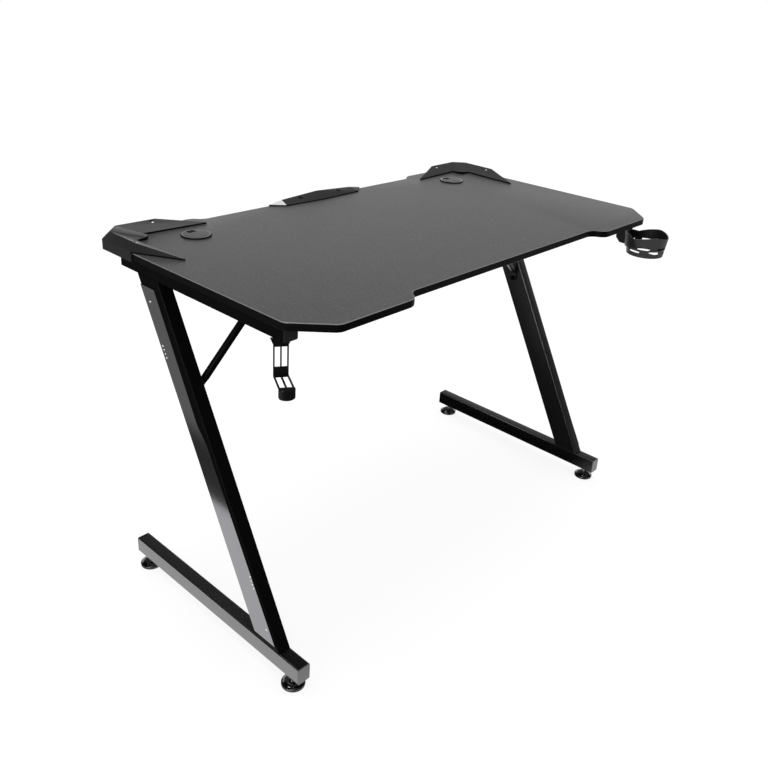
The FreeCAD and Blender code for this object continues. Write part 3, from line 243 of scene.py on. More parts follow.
# Finishes of one colour: the colour's name, the roughness, the shader's other settings and, where a grain
# shows, its size in millimetres, its strength and its depth in millimetres.
PLAIN_FINISHES = {
    # Black PVC band round the board: matt and darker than the foil.
    "pvc_edge_band": ("edge_band", 0.45, {"IOR": 1.5, "Specular IOR Level": 0.1}, (1.5, 0.08, 0.1)),
    # Painted highlight on the tabletop's upper edge: a paler line of foil and band round the tabletop for
    # the light that the rounded edge catches.
    "trimmed_arris": ("edge_highlight_tint", 0.4, {"IOR": 1.5}),
    # Baked powder coat on steel: deep black with a clear gloss and a slight orange peel. Real orange peel
    # is about 1.5 mm from crest to crest; it is drawn at 5 mm so that it shows.
    "gloss_powder_coat": ("paint", 0.20, {"IOR": 2.2, "Specular IOR Level": 0.8}, (5.0, 0.015, 0.12)),
    # Baked powder coat with less gloss: black that takes broad, soft reflections.
    "satin_powder_coat": ("paint", 0.29, {"IOR": 1.9, "Specular IOR Level": 0.6}),
    # Powder coat on the left leg and under the board, black without reflections: painted shade, against the
    # satin coat of the right leg.
    "matt_powder_coat": ("paint", 0.5, {"IOR": 1.5, "Specular IOR Level": 0.05}),
    # Injection-moulded ABS with a fine spark-eroded grain: a soft sheen without sharp reflections.
    "satin_abs": ("trim", 0.33, {"IOR": 1.6}, (1.6, 0.10, 0.12)),
    # Moulded ABS of the spoiler: darker than the guards' tops, with less sheen. On the guards' walls and on
    # the rear and upper plugs it is painted shade.
    "dark_abs": ("spoiler", 0.40, {"IOR": 1.5, "Specular IOR Level": 0.3}, (1.6, 0.10, 0.12)),
    # Painted shadow: near-black matt faces under the rim of the trim and round the outlets' liners; almost
    # no light comes back from them.
    "shadow_gasket": ("under_rim_shade", 0.9, {"Specular IOR Level": 0.1}),
    # Injection-moulded ABS of the outlets' caps: about as soft and grey as the foil round them. On the
    # spoiler's right end facet the same grey is a painted highlight, fainter than the left one.
    "outlet_abs": ("outlet", 0.40, {"IOR": 1.5}),
    # The same ABS from a polished mould on the liners' rims: it catches a clear highlight.
    "polished_abs": ("outlet", 0.16, {"IOR": 1.7}),
    # Gunmetal film on a moulded cover: a mirror-like grey that shows the floor and the dark studio.
    "metallised_film": ("cover", 0.10, {"Metallic": 1.0}, (6.0, 0.008, 0.1)),
    # Moulded polypropylene plugs: greyer and softer than the paint round them.
    "moulded_polypropylene": ("plug", 0.34, {"IOR": 1.9}, (2.0, 0.08, 0.1)),
    # Polished moulded nylon on the pads: black with a sharp highlight.
    "gloss_nylon": ("foot", 0.12, {"IOR": 1.8}),
    # Moulded ABS of the hook: black with a half gloss.
    "half_gloss_abs": ("hook", 0.26, {"IOR": 1.55}),
    # Moulded ABS of the cup holder with a fine grain: dark grey with soft, broad highlights.
    "grained_abs": ("cup_holder", 0.42, {"IOR": 1.5, "Specular IOR Level": 0.3}, (1.6, 0.08, 0.1)),
    # Painted shade inside the basket: the same ABS made black, and almost no light comes back.
    "matt_abs": ("basket_shade", 0.6, {"IOR": 1.5, "Specular IOR Level": 0.2}),
    # Painted highlight on the spoiler's left end facet: pale grey with a soft metal sheen.
    "silver_paint": ("end_highlight", 0.45, {"Metallic": 0.1}),
    # Zinc with a white passivation on small heads: pale metal with a broad, cloudy highlight.
    "white_passivated_zinc": ("passivated", 0.35, {"Metallic": 0.8}),
    # Blackened steel bolts: dark metal with a dull shine.
    "black_oxide_steel": ("black_oxide", 0.35, {"Metallic": 1.0}),
    # Bright zinc plating on small steel parts: pale and slightly cloudy metal.
    "zinc_plate": ("zinc", 0.28, {"Metallic": 1.0}),
    # Cut and drilled steel without a coat: grey metal with a dull shine.
    "plain_steel": ("steel", 0.42, {"Metallic": 1.0}),
}
FINISHES = {}
SLOT_FINISH = {
    "board_laminate": "foil_laminate", "frame_paint": "gloss_powder_coat", "trim_plastic": "satin_abs",
    "grommet_plastic": "outlet_abs", "cover_plastic": "metallised_film",
    "plug_plastic": "moulded_polypropylene", "foot_plastic": "gloss_nylon",
    "accessory_plastic": "half_gloss_abs", "bolt_steel": "zinc_plate", "bare_steel": "plain_steel",
}


def make_finishes(colours):
    """Makes every material once."""
    FINISHES["foil_laminate"] = foil_laminate(colours)
    for name, (tint, roughness, settings, *grains) in PLAIN_FINISHES.items():
        base = {"Base Color": rgba(getattr(colours, tint)), "Roughness": roughness}
        FINISHES[name], tree, shader = start_material(name, base | settings)
        for grain in grains:
            add_grain(tree, shader, *grain)


SLOTS = {row["node"]: row["material_slot"] for row in frame["record"]["subparts"]}
# Nodes that look different from the rest of their slot.
NODE_FINISH = {
    "cup_holder_basket": "grained_abs", "cup_holder_bracket": "dark_abs",
    "brace_bolts": "black_oxide_steel", "crossbar_bolts": "black_oxide_steel",
    "crossbar": "matt_powder_coat", "rear_spoiler": "dark_abs",
}
# The left leg's column and brace get the unreflective coat as painted shade, the right leg's the satin one.
for leg_side, leg_paint in zip(SIDES, ("matt_powder_coat", "satin_powder_coat")):
    NODE_FINISH[f"grommet_liner_{leg_side}"] = "polished_abs"
    NODE_FINISH[f"column_{leg_side}"] = leg_paint
    NODE_FINISH[f"brace_{leg_side}"] = leg_paint
    # Rear and upper plugs: painted shade, darker than the front plugs of the feet.
    NODE_FINISH[f"foot_beam_rear_plug_{leg_side}"] = "dark_abs"
    NODE_FINISH[f"upper_beam_{leg_side}"] = "matt_powder_coat"
    NODE_FINISH[f"crossbar_flange_{leg_side}"] = "matt_powder_coat"
    NODE_FINISH[f"upper_beam_front_plug_{leg_side}"] = "dark_abs"
    NODE_FINISH[f"upper_beam_rear_plug_{leg_side}"] = "dark_abs"


def finish_of(node):
    """The material of a CAD node: its own, or the one that its slot stands for."""
    return FINISHES[NODE_FINISH.get(node) or SLOT_FINISH[SLOTS[node]]]


# Meshes and pieces
def welded_copy(node):
    """A CAD node's loose triangles joined at their corners, in a bmesh."""
    shape = bmesh.new()
    shape.from_mesh(frame["nodes"][node].data)
    bmesh.ops.remove_doubles(shape, verts=shape.verts, dist=MERGE)
    return shape


def merged_copy(node):
    """A CAD node as one connected mesh with its flat faces joined, in a bmesh."""
    shape = welded_copy(node)
    bmesh.ops.dissolve_degenerate(shape, edges=shape.edges, dist=MERGE)
    bmesh.ops.dissolve_limit(shape, angle_limit=FLAT_ANGLE, verts=shape.verts, edges=shape.edges)
    return shape


def new_object(name, data):
    """A new object in the scene."""
    item = bpy.data.objects.new(name, data)
    bpy.context.scene.collection.objects.link(item)
    return item


def piece_from(shape, name, *materials):
    """A new object at the origin from a bmesh, shaded smooth except at sharp edges."""
    mesh = bpy.data.meshes.new(name)
    shape.to_mesh(mesh)
    shape.free()
    for attribute in [a.name for a in mesh.attributes if a.name == "custom_normal"]:
        mesh.attributes.remove(mesh.attributes[attribute])
    for material in materials:
        mesh.materials.append(material)
    mesh.shade_smooth()
    mesh.set_sharp_from_angle(angle=SHARP_ANGLE)
    return new_object(name, mesh)


def flatten(piece):
    """Turns a piece's mesh and modifiers into one plain mesh."""
    bpy.context.view_layer.update()
    evaluated = piece.evaluated_get(bpy.context.evaluated_depsgraph_get())
    mesh = bpy.data.meshes.new_from_object(evaluated)
    piece.modifiers.clear()
    piece.data = mesh


def round_edges(piece, width):
    """Rounds a piece's sharp edges and keeps its flat faces flat to the eye."""
    bevel = piece.modifiers.new("edge", "BEVEL")
    bevel.width = width
    bevel.segments = EDGE_SEGMENTS
    bevel.limit_method = "ANGLE"
    bevel.angle_limit = SHARP_ANGLE
    bevel.harden_normals = True
    bevel.use_clamp_overlap = True
    weighted = piece.modifiers.new("normals", "WEIGHTED_NORMAL")
    weighted.keep_sharp = True
    flatten(piece)


def settle(piece, slot, body, *nodes):
    """Hands a finished piece to the frame: its body and the nodes it stands for. The slot is not used."""
    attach(piece, body)
    if nodes:
        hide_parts(*nodes)


def dress(node, edge=0.0, body=FRAME_BODY, more_finishes=(), choose=None):
    """A finished copy of one CAD node in its own material, or in one that is chosen for each face."""
    shape = merged_copy(node)
    if choose:
        for face in shape.faces:
            face.material_index = choose(face)
    piece = piece_from(shape, f"{node}_look", finish_of(node), *(FINISHES[name] for name in more_finishes))
    if edge:
        round_edges(piece, edge)
    settle(piece, SLOTS[node], body, node)


def add_ring(shape, centre, radii, height):
    """A level ring of vertices round an upright axis, one for each radius."""
    bearings = [math.tau * number / len(radii) for number in range(len(radii))]
    return [shape.verts.new((centre[0] + radius * math.cos(bearing), centre[1] + radius * math.sin(bearing),
                             height)) for radius, bearing in zip(radii, bearings)]


def skin(shape, rings, corners):
    """Joins rings of vertices with faces; a ring of one vertex is a point on the axis."""
    for below, above in zip(rings, rings[1:]):
        for turn in range(corners):
            face = [below[turn % len(below)], below[(turn + 1) % len(below)],
                    above[(turn + 1) % len(above)], above[turn % len(above)]]
            unique = list(dict.fromkeys(face))
            if len(unique) > 2:
                shape.faces.new(unique)
    bmesh.ops.recalc_face_normals(shape, faces=shape.faces)


def lathe(name, profile, centre, material, corners):
    """A solid of revolution about an upright axis; the profile holds (radius, height) points."""
    shape = bmesh.new()
    rings = [add_ring(shape, centre, [radius] * (corners if radius > MERGE else 1), height)
             for radius, height in profile]
    skin(shape, rings, corners)
    return piece_from(shape, name, material)


def arc(centre, radius, start, end, steps):
    """Points on an arc of a profile, between two angles in degrees."""
    angles = [math.radians(start + (end - start) * step / steps) for step in range(steps + 1)]
    return [(centre[0] + radius * math.cos(a), centre[1] + radius * math.sin(a)) for a in angles]


def dome(radius, foot, rise, steps):
    """Points of a profile from just over the foot of a dome to its top."""
    turns = [math.pi / 2 * step / steps for step in range(1, steps)]
    return [(radius * math.cos(turn), foot + rise * math.sin(turn)) for turn in turns] + [(0.0, foot + rise)]


def node_axis(node):
    """The upright axis of a round CAD node, with its radius and its lowest and highest height."""
    low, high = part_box(node)
    return (low + high) / 2, (high.x - low.x) / 2, low.z, high.z


# Repeats made with Geometry Nodes
def repeat_tree(name):
    """A node tree that sets one small object on every point, turned to the point's own direction."""
    tree = bpy.data.node_groups.new(name, "GeometryNodeTree")
    inputs = (("Points", "Geometry"), ("Pattern", "Object"), ("Finish", "Material"), ("Turn", "Float"))
    for label, kind in inputs:
        tree.interface.new_socket(label, in_out="INPUT", socket_type=f"NodeSocket{kind}")
    tree.interface.new_socket("Geometry", in_out="OUTPUT", socket_type="NodeSocketGeometry")
    given = add_node(tree, "NodeGroupInput")
    pattern = add_node(tree, "GeometryNodeObjectInfo", links={"Object": given.outputs["Pattern"]})
    facing = add_node(tree, "GeometryNodeInputNamedAttribute", {
        "data_type": "FLOAT_VECTOR", "Name": "facing"})
    aligned = add_node(tree, "FunctionNodeAlignRotationToVector", {"axis": "Z"},
                       {"Vector": facing})
    number = add_node(tree, "GeometryNodeInputIndex")
    angle = add_node(tree, "ShaderNodeMath", {"operation": "MULTIPLY"},
                     {0: number, 1: given.outputs["Turn"]})
    spin = add_node(tree, "FunctionNodeAxisAngleToRotation", {"Axis": UP}, {"Angle": angle})
    turned = add_node(tree, "FunctionNodeRotateRotation", {"rotation_space": "LOCAL"},
                      {"Rotation": aligned, "Rotate By": spin})
    placed = add_node(tree, "GeometryNodeInstanceOnPoints", links={
        "Points": given.outputs["Points"], "Instance": pattern.outputs["Geometry"], "Rotation": turned})
    real = add_node(tree, "GeometryNodeRealizeInstances", links={"Geometry": placed})
    painted = add_node(tree, "GeometryNodeSetMaterial", links={
        "Geometry": real, "Material": given.outputs["Finish"]})
    add_node(tree, "NodeGroupOutput", links={"Geometry": painted})
    return tree


def repeat(name, pattern, places, finish, turn=0.0, nodes=()):
    """Fasteners as one plain mesh with the pattern at every place: a point and the direction it faces."""
    mesh = bpy.data.meshes.new(name)
    mesh.from_pydata([point for point, _ in places], [], [])
    facing = mesh.attributes.new("facing", "FLOAT_VECTOR", "POINT")
    facing.data.foreach_set("vector", [value for _, direction in places for value in direction])
    piece = new_object(name, mesh)
    tree = repeat_tree(f"{name}_tree")
    modifier = piece.modifiers.new("repeat", "NODES")
    modifier.node_group = tree
    values = {"Pattern": pattern, "Finish": FINISHES[finish], "Turn": turn}
    for item in tree.interface.items_tree:
        if item.name in values:
            modifier[item.identifier] = values[item.name]
    flatten(piece)
    bpy.data.objects.remove(pattern)
    piece.data.shade_smooth()
    piece.data.set_sharp_from_angle(angle=SHARP_ANGLE)
    settle(piece, "bolt_steel", FRAME_BODY, *nodes)


def cut_with(piece, cutter):
    """Cuts one closed mesh out of another."""
    boolean = piece.modifiers.new("cut", "BOOLEAN")
    boolean.operation = "DIFFERENCE"
    boolean.solver = "EXACT"
    boolean.object = cutter
    flatten(piece)
    bpy.data.objects.remove(cutter)
    return piece


def box_shape(shape, low, high):
    """Adds a box between two corners to a bmesh."""
    size = Vector(high) - Vector(low)
    middle = (Vector(high) + Vector(low)) / 2
    bmesh.ops.create_cube(shape, size=1.0, matrix=Matrix.Translation(middle) @ Matrix.Diagonal((*size, 1.0)))


# Shares of a head: a screw's dome of its height, its recess of its radius, a rivet's height of its radius.
DOME_SHARE = 0.55
RECESS_SHARE = 0.62
RIVET_SHARE = 0.5
# Corners round a screw's head and round a rivet.
HEAD_CORNERS = 40
RIVET_CORNERS = 20


def screw_head(sizes, radius, height):
    """A pan head with a cross recess; its seat is at the origin and it faces +Z."""
    shoulder = height * (1.0 - DOME_SHARE)
    profile = [(0.0, 0.0), (radius, 0.0), (radius, shoulder), *dome(radius, shoulder, height - shoulder, 5)]
    head = lathe("screw_head", profile, (0.0, 0.0), None, HEAD_CORNERS)
    cross = bmesh.new()
    bar, arm, floor = sizes.recess_width / 2, radius * RECESS_SHARE, height - sizes.recess_depth
    for across, along in ((bar, arm), (arm, bar)):
        box_shape(cross, (-across, -along, floor), (across, along, height * 2))
    return cut_with(head, piece_from(cross, "screw_recess"))


def rivet(radius):
    """A low round rivet head that faces +Z."""
    profile = [(0.0, 0.0), (radius, 0.0), *dome(radius, 0.0, radius * RIVET_SHARE, 4)]
    return lathe("rivet", profile, (0.0, 0.0), None, RIVET_CORNERS)


def solids_of(node):
    """Lowest and highest corners of each separate solid in a CAD node."""
    shape = welded_copy(node)
    left, boxes = set(shape.verts), []
    while left:
        group, queue = set(), [left.pop()]
        while queue:
            vert = queue.pop()
            group.add(vert)
            near = {edge.other_vert(vert) for edge in vert.link_edges} & left
            left -= near
            queue += near
        points = [vert.co for vert in group]
        boxes.append((Vector(map(min, zip(*points))), Vector(map(max, zip(*points)))))
    shape.free()
    return boxes


# Operators, one for each piece or group of like pieces
class DESK_OT_tabletop(bpy.types.Operator):
    """Dress the tabletop board with a foil face, black on its edges and underneath, and a painted highlight
    along its upper edge
    """

    bl_idname = "desk.tabletop"
    bl_label = "Tabletop"

    # Faces of the rounded upper edge whose normals rise between these values get the painted highlight, a
    # pale line.
    HIGHLIGHT_RISE = (0.25, 0.93)
    # Corners of the outline turn by more than this angle, and their edges lie within this reach of them.
    CORNER_TURN = math.radians(20)
    CORNER_REACH = 3 * MM
    CORNER_SEGMENTS = 6

    def round_corners(self, shape, setback):
        """Rounds the outline's corners: bevels the chain of rising edges at each upright corner edge.

        The flat faces are taken off first and filled again at the end, so their inner edges don't matter.
        """
        levels = [max(vert.co.z for vert in shape.verts), min(vert.co.z for vert in shape.verts)]
        flat = [face for face in shape.faces
                if any(all(abs(vert.co.z - level) < MERGE for vert in face.verts) for level in levels)]
        bmesh.ops.delete(shape, geom=flat, context="FACES")
        rising = [edge for edge in shape.edges if abs(edge.verts[0].co.z - edge.verts[1].co.z) > MERGE]
        spots = [edge.verts[0].co.xy.copy() for edge in rising
                 if edge.calc_face_angle(0.0) > self.CORNER_TURN
                 and (edge.verts[0].co.xy - edge.verts[1].co.xy).length < MERGE]
        chains = [edge for edge in rising if any(all((vert.co.xy - spot).length < self.CORNER_REACH
                                                     for vert in edge.verts) for spot in spots)]
        bmesh.ops.bevel(shape, geom=chains, offset=setback, offset_type="OFFSET", profile=0.5,
                        segments=self.CORNER_SEGMENTS, affect="EDGES", clamp_overlap=False)
        for level in levels:
            rim = [edge for edge in shape.edges
                   if edge.is_boundary and all(abs(vert.co.z - level) < MERGE for vert in edge.verts)]
            bmesh.ops.triangle_fill(shape, use_beauty=True, use_dissolve=False, edges=rim,
                                    normal=(0.0, 0.0, 1.0 if level == levels[0] else -1.0))
        bmesh.ops.recalc_face_normals(shape, faces=shape.faces)

    def execute(self, context):
        node = "tabletop_board"
        shape = merged_copy(node)
        self.round_corners(shape, context.scene.desk_sizes.corner_setback)
        # Faces that look up are foil, those that rise between the two values the painted highlight, the rest
        # edge band.
        for face in shape.faces:
            if face.normal.z > self.HIGHLIGHT_RISE[1]:
                face.material_index = 0
            else:
                face.material_index = 2 if face.normal.z > self.HIGHLIGHT_RISE[0] else 1
        piece = piece_from(shape, "tabletop", FINISHES["foil_laminate"], FINISHES["pvc_edge_band"],
                           FINISHES["trimmed_arris"])
        settle(piece, SLOTS[node], FRAME_BODY, node)
        return {"FINISHED"}


# Facets of the trim by the upward part of their normals: upright below one value (a painted shadow over the
# board), a wall below the other (a painted shade).
UPRIGHT = 0.05
WALL_LEAN = 0.65


def dress_trim(node, edge, end_facets=None):
    """A faceted moulding with a painted shade on its walls and a painted shadow on its upright facets over
    the board; its end facets may get a painted highlight, silver on the left and grey on the right.
    """
    board_low, board_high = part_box("tabletop_board")
    half_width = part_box(node)[1].x

    def choose(face):
        middle, normal = face.calc_center_median(), face.normal
        over_board = board_low.x < middle.x < board_high.x and middle.y < board_high.y
        upright = abs(normal.z) < UPRIGHT and middle.z > board_high.z
        # Upright facets over the board that don't face the rear: painted shadow.
        if upright and over_board and normal.y < FACING:
            return 1
        # End facets: painted highlight, silver on the left end and grey on the right.
        if end_facets and normal.z > FACING and abs(middle.x) > end_facets * half_width:
            return 2 if middle.x < 0 else 3
        # Walls: the darker ABS as painted shade.
        return 4 if normal.z < WALL_LEAN else 0

    dress(node, edge, FRAME_BODY, ("shadow_gasket", "silver_paint", "outlet_abs", "dark_abs"), choose)


class DESK_OT_corner_guards(bpy.types.Operator):
    """Dress the two faceted corner guards"""

    bl_idname = "desk.corner_guards"
    bl_label = "Corner guards"

    def execute(self, context):
        for side in SIDES:
            dress_trim(f"corner_guard_{side}", context.scene.desk_sizes.trim_edge)
        return {"FINISHED"}


class DESK_OT_rear_spoiler(bpy.types.Operator):
    """Dress the faceted spoiler in the rear recess"""

    bl_idname = "desk.rear_spoiler"
    bl_label = "Rear spoiler"

    # Facets whose middle lies beyond this share of the half width are its ends, with a painted highlight:
    # silver on the left, grey on the right.
    END_FACET_START = 0.8

    def execute(self, context):
        dress_trim("rear_spoiler", context.scene.desk_sizes.trim_edge, self.END_FACET_START)
        return {"FINISHED"}


class DESK_OT_cable_outlets(bpy.types.Operator):
    """Dress the liners and the turning caps of the cable outlets"""

    bl_idname = "desk.cable_outlets"
    bl_label = "Cable outlets"

    # Faces of a liner whose normals rise more than this are its polished rim; the others get the painted
    # shadow.
    RIM_RISE = 0.8

    def execute(self, context):
        for side in SIDES:
            dress(f"grommet_liner_{side}", more_finishes=["shadow_gasket"],
                  choose=lambda face: int(face.normal.z < self.RIM_RISE))
            dress(f"grommet_cap_{side}", context.scene.desk_sizes.cap_edge, f"outlet_cap_{side}")
        return {"FINISHED"}


def outward_of(side):
    """The direction that looks away from the desk on one side."""
    return Vector((-1.0 if side == "left" else 1.0, 0.0, 0.0))


# Points of a cover are at one height when they differ by less than this.
SAME_HEIGHT = 0.1 * MM


def cover_edge(node):
    """The rear edge of a column cover, as its lowest and its highest point on the outer face."""
    low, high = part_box(node)
    outer = low.x if low.x < 0 else high.x
    points = [vert.co for vert in frame["nodes"][node].data.vertices]

    def rear_end(height):
        level = [point.y for point in points if abs(point.z - height) < SAME_HEIGHT]
        return Vector((outer, max(level), height))

    return rear_end(low.z), rear_end(high.z)


class DESK_OT_leg_frames(bpy.types.Operator):
    """Dress the beams, columns, covers and plugs of the two leg frames"""

    bl_idname = "desk.leg_frames"
    bl_label = "Leg frames"

    # Screws and rivet rows on a cover: height over its foot, inset from its rear edge, in millimetres.
    COVER_SCREWS = ((572, 13.6), (6, 44.5))
    RIVET_ROWS = ((477.7, 7.0), (78.3, 46.0))
    RIVETS_IN_ROW = 4
    # A cover screw's height as a share of its radius, and the turn from one recess to the next in radians.
    COVER_SCREW_SHARE = 0.6
    COVER_SCREW_TURN = 0.5
    # A foot's rivet sits this far outwards of the beam's middle and before the column.
    FOOT_RIVET_OFFSET = 4 * MM

    def execute(self, context):
        sizes = context.scene.desk_sizes
        for side in SIDES:
            for member in ("upper_beam", "column", "foot_beam", "column_cover"):
                dress(f"{member}_{side}")
            for beam in ("foot_beam", "upper_beam"):
                for end in ("front", "rear"):
                    dress(f"{beam}_{end}_plug_{side}", sizes.moulding_edge)
            self.fasten_cover(side, sizes)
            self.fasten_foot(side, sizes)
        return {"FINISHED"}

    def fasten_cover(self, side, sizes):
        """Screws and rows of small rivets on a cover's outer face."""
        foot, head = cover_edge(f"column_cover_{side}")
        lean = (head - foot).normalized()
        across = Vector((0.0, -lean.z, lean.y))

        def place(height, inset):
            along = height * MM / lean.z
            return foot + lean * along + across * (inset * MM), outward_of(side)

        rows = [place(height + sizes.rivet_spacing / MM * number, inset)
                for height, inset in self.RIVET_ROWS for number in range(self.RIVETS_IN_ROW)]
        repeat(f"cover_rivets_{side}", rivet(sizes.rivet_radius), rows, "white_passivated_zinc")
        radius = sizes.cover_screw_radius
        pattern = screw_head(sizes, radius, radius * self.COVER_SCREW_SHARE)
        repeat(f"cover_screws_{side}", pattern, [place(*spot) for spot in self.COVER_SCREWS],
               "white_passivated_zinc", self.COVER_SCREW_TURN)

    def fasten_foot(self, side, sizes):
        """A rivet on the foot beam just before the column."""
        low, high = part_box(f"foot_beam_{side}")
        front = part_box(f"column_{side}")[0].y
        spot = Vector(((low.x + high.x) / 2, front - self.FOOT_RIVET_OFFSET, high.z))
        spot += outward_of(side) * self.FOOT_RIVET_OFFSET
        repeat(f"foot_rivet_{side}", rivet(sizes.foot_rivet_radius), [(spot, UP)], "black_oxide_steel")


class DESK_OT_crossbar(bpy.types.Operator):
    """Dress the crossbar, its flanges and the two braces"""

    bl_idname = "desk.crossbar"
    bl_label = "Crossbar and braces"

    def execute(self, context):
        dress("crossbar")
        for side in SIDES:
            dress(f"crossbar_flange_{side}", context.scene.desk_sizes.moulding_edge)
            dress(f"brace_{side}")
        return {"FINISHED"}


class DESK_OT_levelling_feet(bpy.types.Operator):
    """Turn the levelling pads and cut the threads of their studs"""

    bl_idname = "desk.levelling_feet"
    bl_label = "Levelling feet"

    # Shares in a pad: its rim of its height, its collar of its radius, the groove's corners of the rim.
    RIM_SHARE = 0.36
    COLLAR_SHARE = 0.39
    GROOVE = (0.45, 0.5, 0.62, 0.68)
    # Roundings of a pad, the rise of its crown over the rim, and the bulge of its dome.
    FOOT_ROUND = 1.0 * MM
    RIM_ROUND = 1.2 * MM
    RIM_DROP = 0.4 * MM
    CROWN_RISE = 0.7 * MM
    BULGE = 1.1 * MM
    # The collar: its sloping foot across and below the top, its wall below the top, and its edge.
    COLLAR_FOOT = (3.0 * MM, 2.2 * MM)
    COLLAR_WALL = 1.8 * MM
    COLLAR_EDGE = 0.5 * MM
    DOME_STEPS = 9
    # Corners round a pad and round a stud, and rings in one pitch of a stud's thread.
    PAD_CORNERS = 96
    STUD_CORNERS = 32
    RINGS_IN_PITCH = 6

    def execute(self, context):
        sizes = context.scene.desk_sizes
        for corner in CORNERS:
            self.make_pad(corner, sizes)
            self.make_stud(corner, sizes)
        return {"FINISHED"}

    def make_pad(self, corner, sizes):
        """A domed disc with a rounded foot, a groove under its rim and a collar round the stud."""
        node = f"levelling_pad_{corner}"
        centre, radius, low, high = node_axis(node)
        rim = (high - low) * self.RIM_SHARE
        collar = radius * self.COLLAR_SHARE
        sunk = radius - sizes.pad_groove
        corner_round = self.FOOT_ROUND
        profile = [(0.0, low), (radius - 2 * corner_round, low)]
        profile += arc((radius - corner_round, low + corner_round), corner_round, -90, 0, 4)
        walls = zip((radius, sunk, sunk, radius), self.GROOVE)
        profile += [(reach, low + rim * share) for reach, share in walls]
        profile += arc((radius - self.RIM_ROUND, low + rim - self.RIM_DROP), self.RIM_ROUND, 0, 70, 5)
        crown = Vector((radius - 2 * self.RIM_ROUND, low + rim + self.CROWN_RISE))
        flat = Vector((collar + self.COLLAR_FOOT[0], high - self.COLLAR_FOOT[1]))
        for step in range(1, self.DOME_STEPS):
            share = step / self.DOME_STEPS
            bulge = Vector((0.0, math.sin(math.pi * share) * self.BULGE))
            profile.append(crown.lerp(flat, share) + bulge)
        profile += [flat, (collar, high - self.COLLAR_WALL), (collar, high - self.COLLAR_EDGE),
                    (collar - self.COLLAR_EDGE, high), (0.0, high)]
        pad = lathe(f"{node}_look", profile, centre, finish_of(node), self.PAD_CORNERS)
        settle(pad, SLOTS[node], f"levelling_foot_{corner}", node)

    def make_stud(self, corner, sizes):
        """A threaded rod: the radius follows the thread's flank round and along the stud."""
        node = f"levelling_stud_{corner}"
        centre, radius, low, high = node_axis(node)
        pitch, corners = sizes.thread_pitch, self.STUD_CORNERS
        rows = round((high - low) / pitch * self.RINGS_IN_PITCH)
        shape = bmesh.new()
        rings = []
        for row in range(rows + 1):
            height = low + (high - low) * row / rows
            # The thread runs out at both ends of the rod.
            taper = min(1.0, (height - low) / pitch, (high - height) / pitch)
            radii = []
            for turn in range(corners):
                phase = ((height - low) / pitch - turn / corners) % 1.0
                # Flat crests and roots, with straight flanks between them.
                flank = min(1.0, max(0.0, 2.0 * abs(2.0 * phase - 1.0) - 0.5))
                radii.append(radius - sizes.thread_depth * (1.0 - flank * taper))
            rings.append(add_ring(shape, centre, radii, height))
        shape.faces.new(rings[0][::-1])
        shape.faces.new(rings[-1])
        skin(shape, rings, corners)
        stud = piece_from(shape, f"{node}_look", finish_of(node))
        settle(stud, SLOTS[node], f"levelling_foot_{corner}", node)


class DESK_OT_headset_hook(bpy.types.Operator):
    """Dress the headset hook"""

    bl_idname = "desk.headset_hook"
    bl_label = "Headset hook"

    def execute(self, context):
        dress("headset_hook", context.scene.desk_sizes.moulding_edge)
        return {"FINISHED"}


class DESK_OT_cup_holder(bpy.types.Operator):
    """Dress the cup holder's basket, grained outside and with painted shade inside, and its bracket"""

    bl_idname = "desk.cup_holder"
    bl_label = "Cup holder"

    def execute(self, context):
        sizes = context.scene.desk_sizes
        axis = node_axis("cup_holder_basket")[0]

        # Faces that look in towards the axis get the painted shade.
        def inside(face):
            inwards = (axis - face.calc_center_median()) * Vector((1.0, 1.0, 0.0))
            return int(face.normal.dot(inwards.normalized()) > FACING)

        dress("cup_holder_basket", sizes.basket_edge, more_finishes=["matt_abs"], choose=inside)
        dress("cup_holder_bracket", sizes.moulding_edge)
        return {"FINISHED"}


class DESK_OT_fasteners(bpy.types.Operator):
    """Set recessed heads on the trim's screws, and give the nodes that stay plain their materials"""

    bl_idname = "desk.fasteners"
    bl_label = "Fasteners"

    # Turn from one screw's recess to the next, in radians.
    SCREW_TURN = 0.7

    def execute(self, context):
        sizes = context.scene.desk_sizes
        self.fasten_trim("trim_screws", sizes)
        for node, obj in frame["nodes"].items():
            if not obj.hide_render:
                obj.data.materials.clear()
                obj.data.materials.append(finish_of(node))
        return {"FINISHED"}

    def fasten_trim(self, node, sizes):
        """Heads with cross recesses for the trim's screws: domed in the guards, sunk in the spoiler."""
        boxes = solids_of(node)
        radius = (boxes[0][1].x - boxes[0][0].x) / 2
        spoiler_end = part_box("rear_spoiler")[1].x
        places = [(Vector(((low.x + high.x) / 2, (low.y + high.y) / 2, high.z - sizes.screw_seat)), UP)
                  for low, high in boxes]
        in_guards = [place for place in places if abs(place[0].x) > spoiler_end]
        in_spoiler = [place for place in places if abs(place[0].x) < spoiler_end]
        repeat(f"{node}_look", screw_head(sizes, radius, sizes.screw_dome), in_guards,
               "white_passivated_zinc", self.SCREW_TURN, [node])
        repeat(f"{node}_spoiler", screw_head(sizes, radius, sizes.screw_seat), in_spoiler,
               "zinc_plate", self.SCREW_TURN)


def seen_rays(tree):
    """A value that is 1 for rays from the eye, also by way of a reflection or a clear piece."""
    path = add_node(tree, "ShaderNodeLightPath")
    seen = path.outputs["Is Camera Ray"]
    for kind in ("Is Glossy Ray", "Is Transmission Ray"):
        seen = add_node(tree, "ShaderNodeMath", {"operation": "MAXIMUM"}, {0: seen, 1: path.outputs[kind]})
    return seen


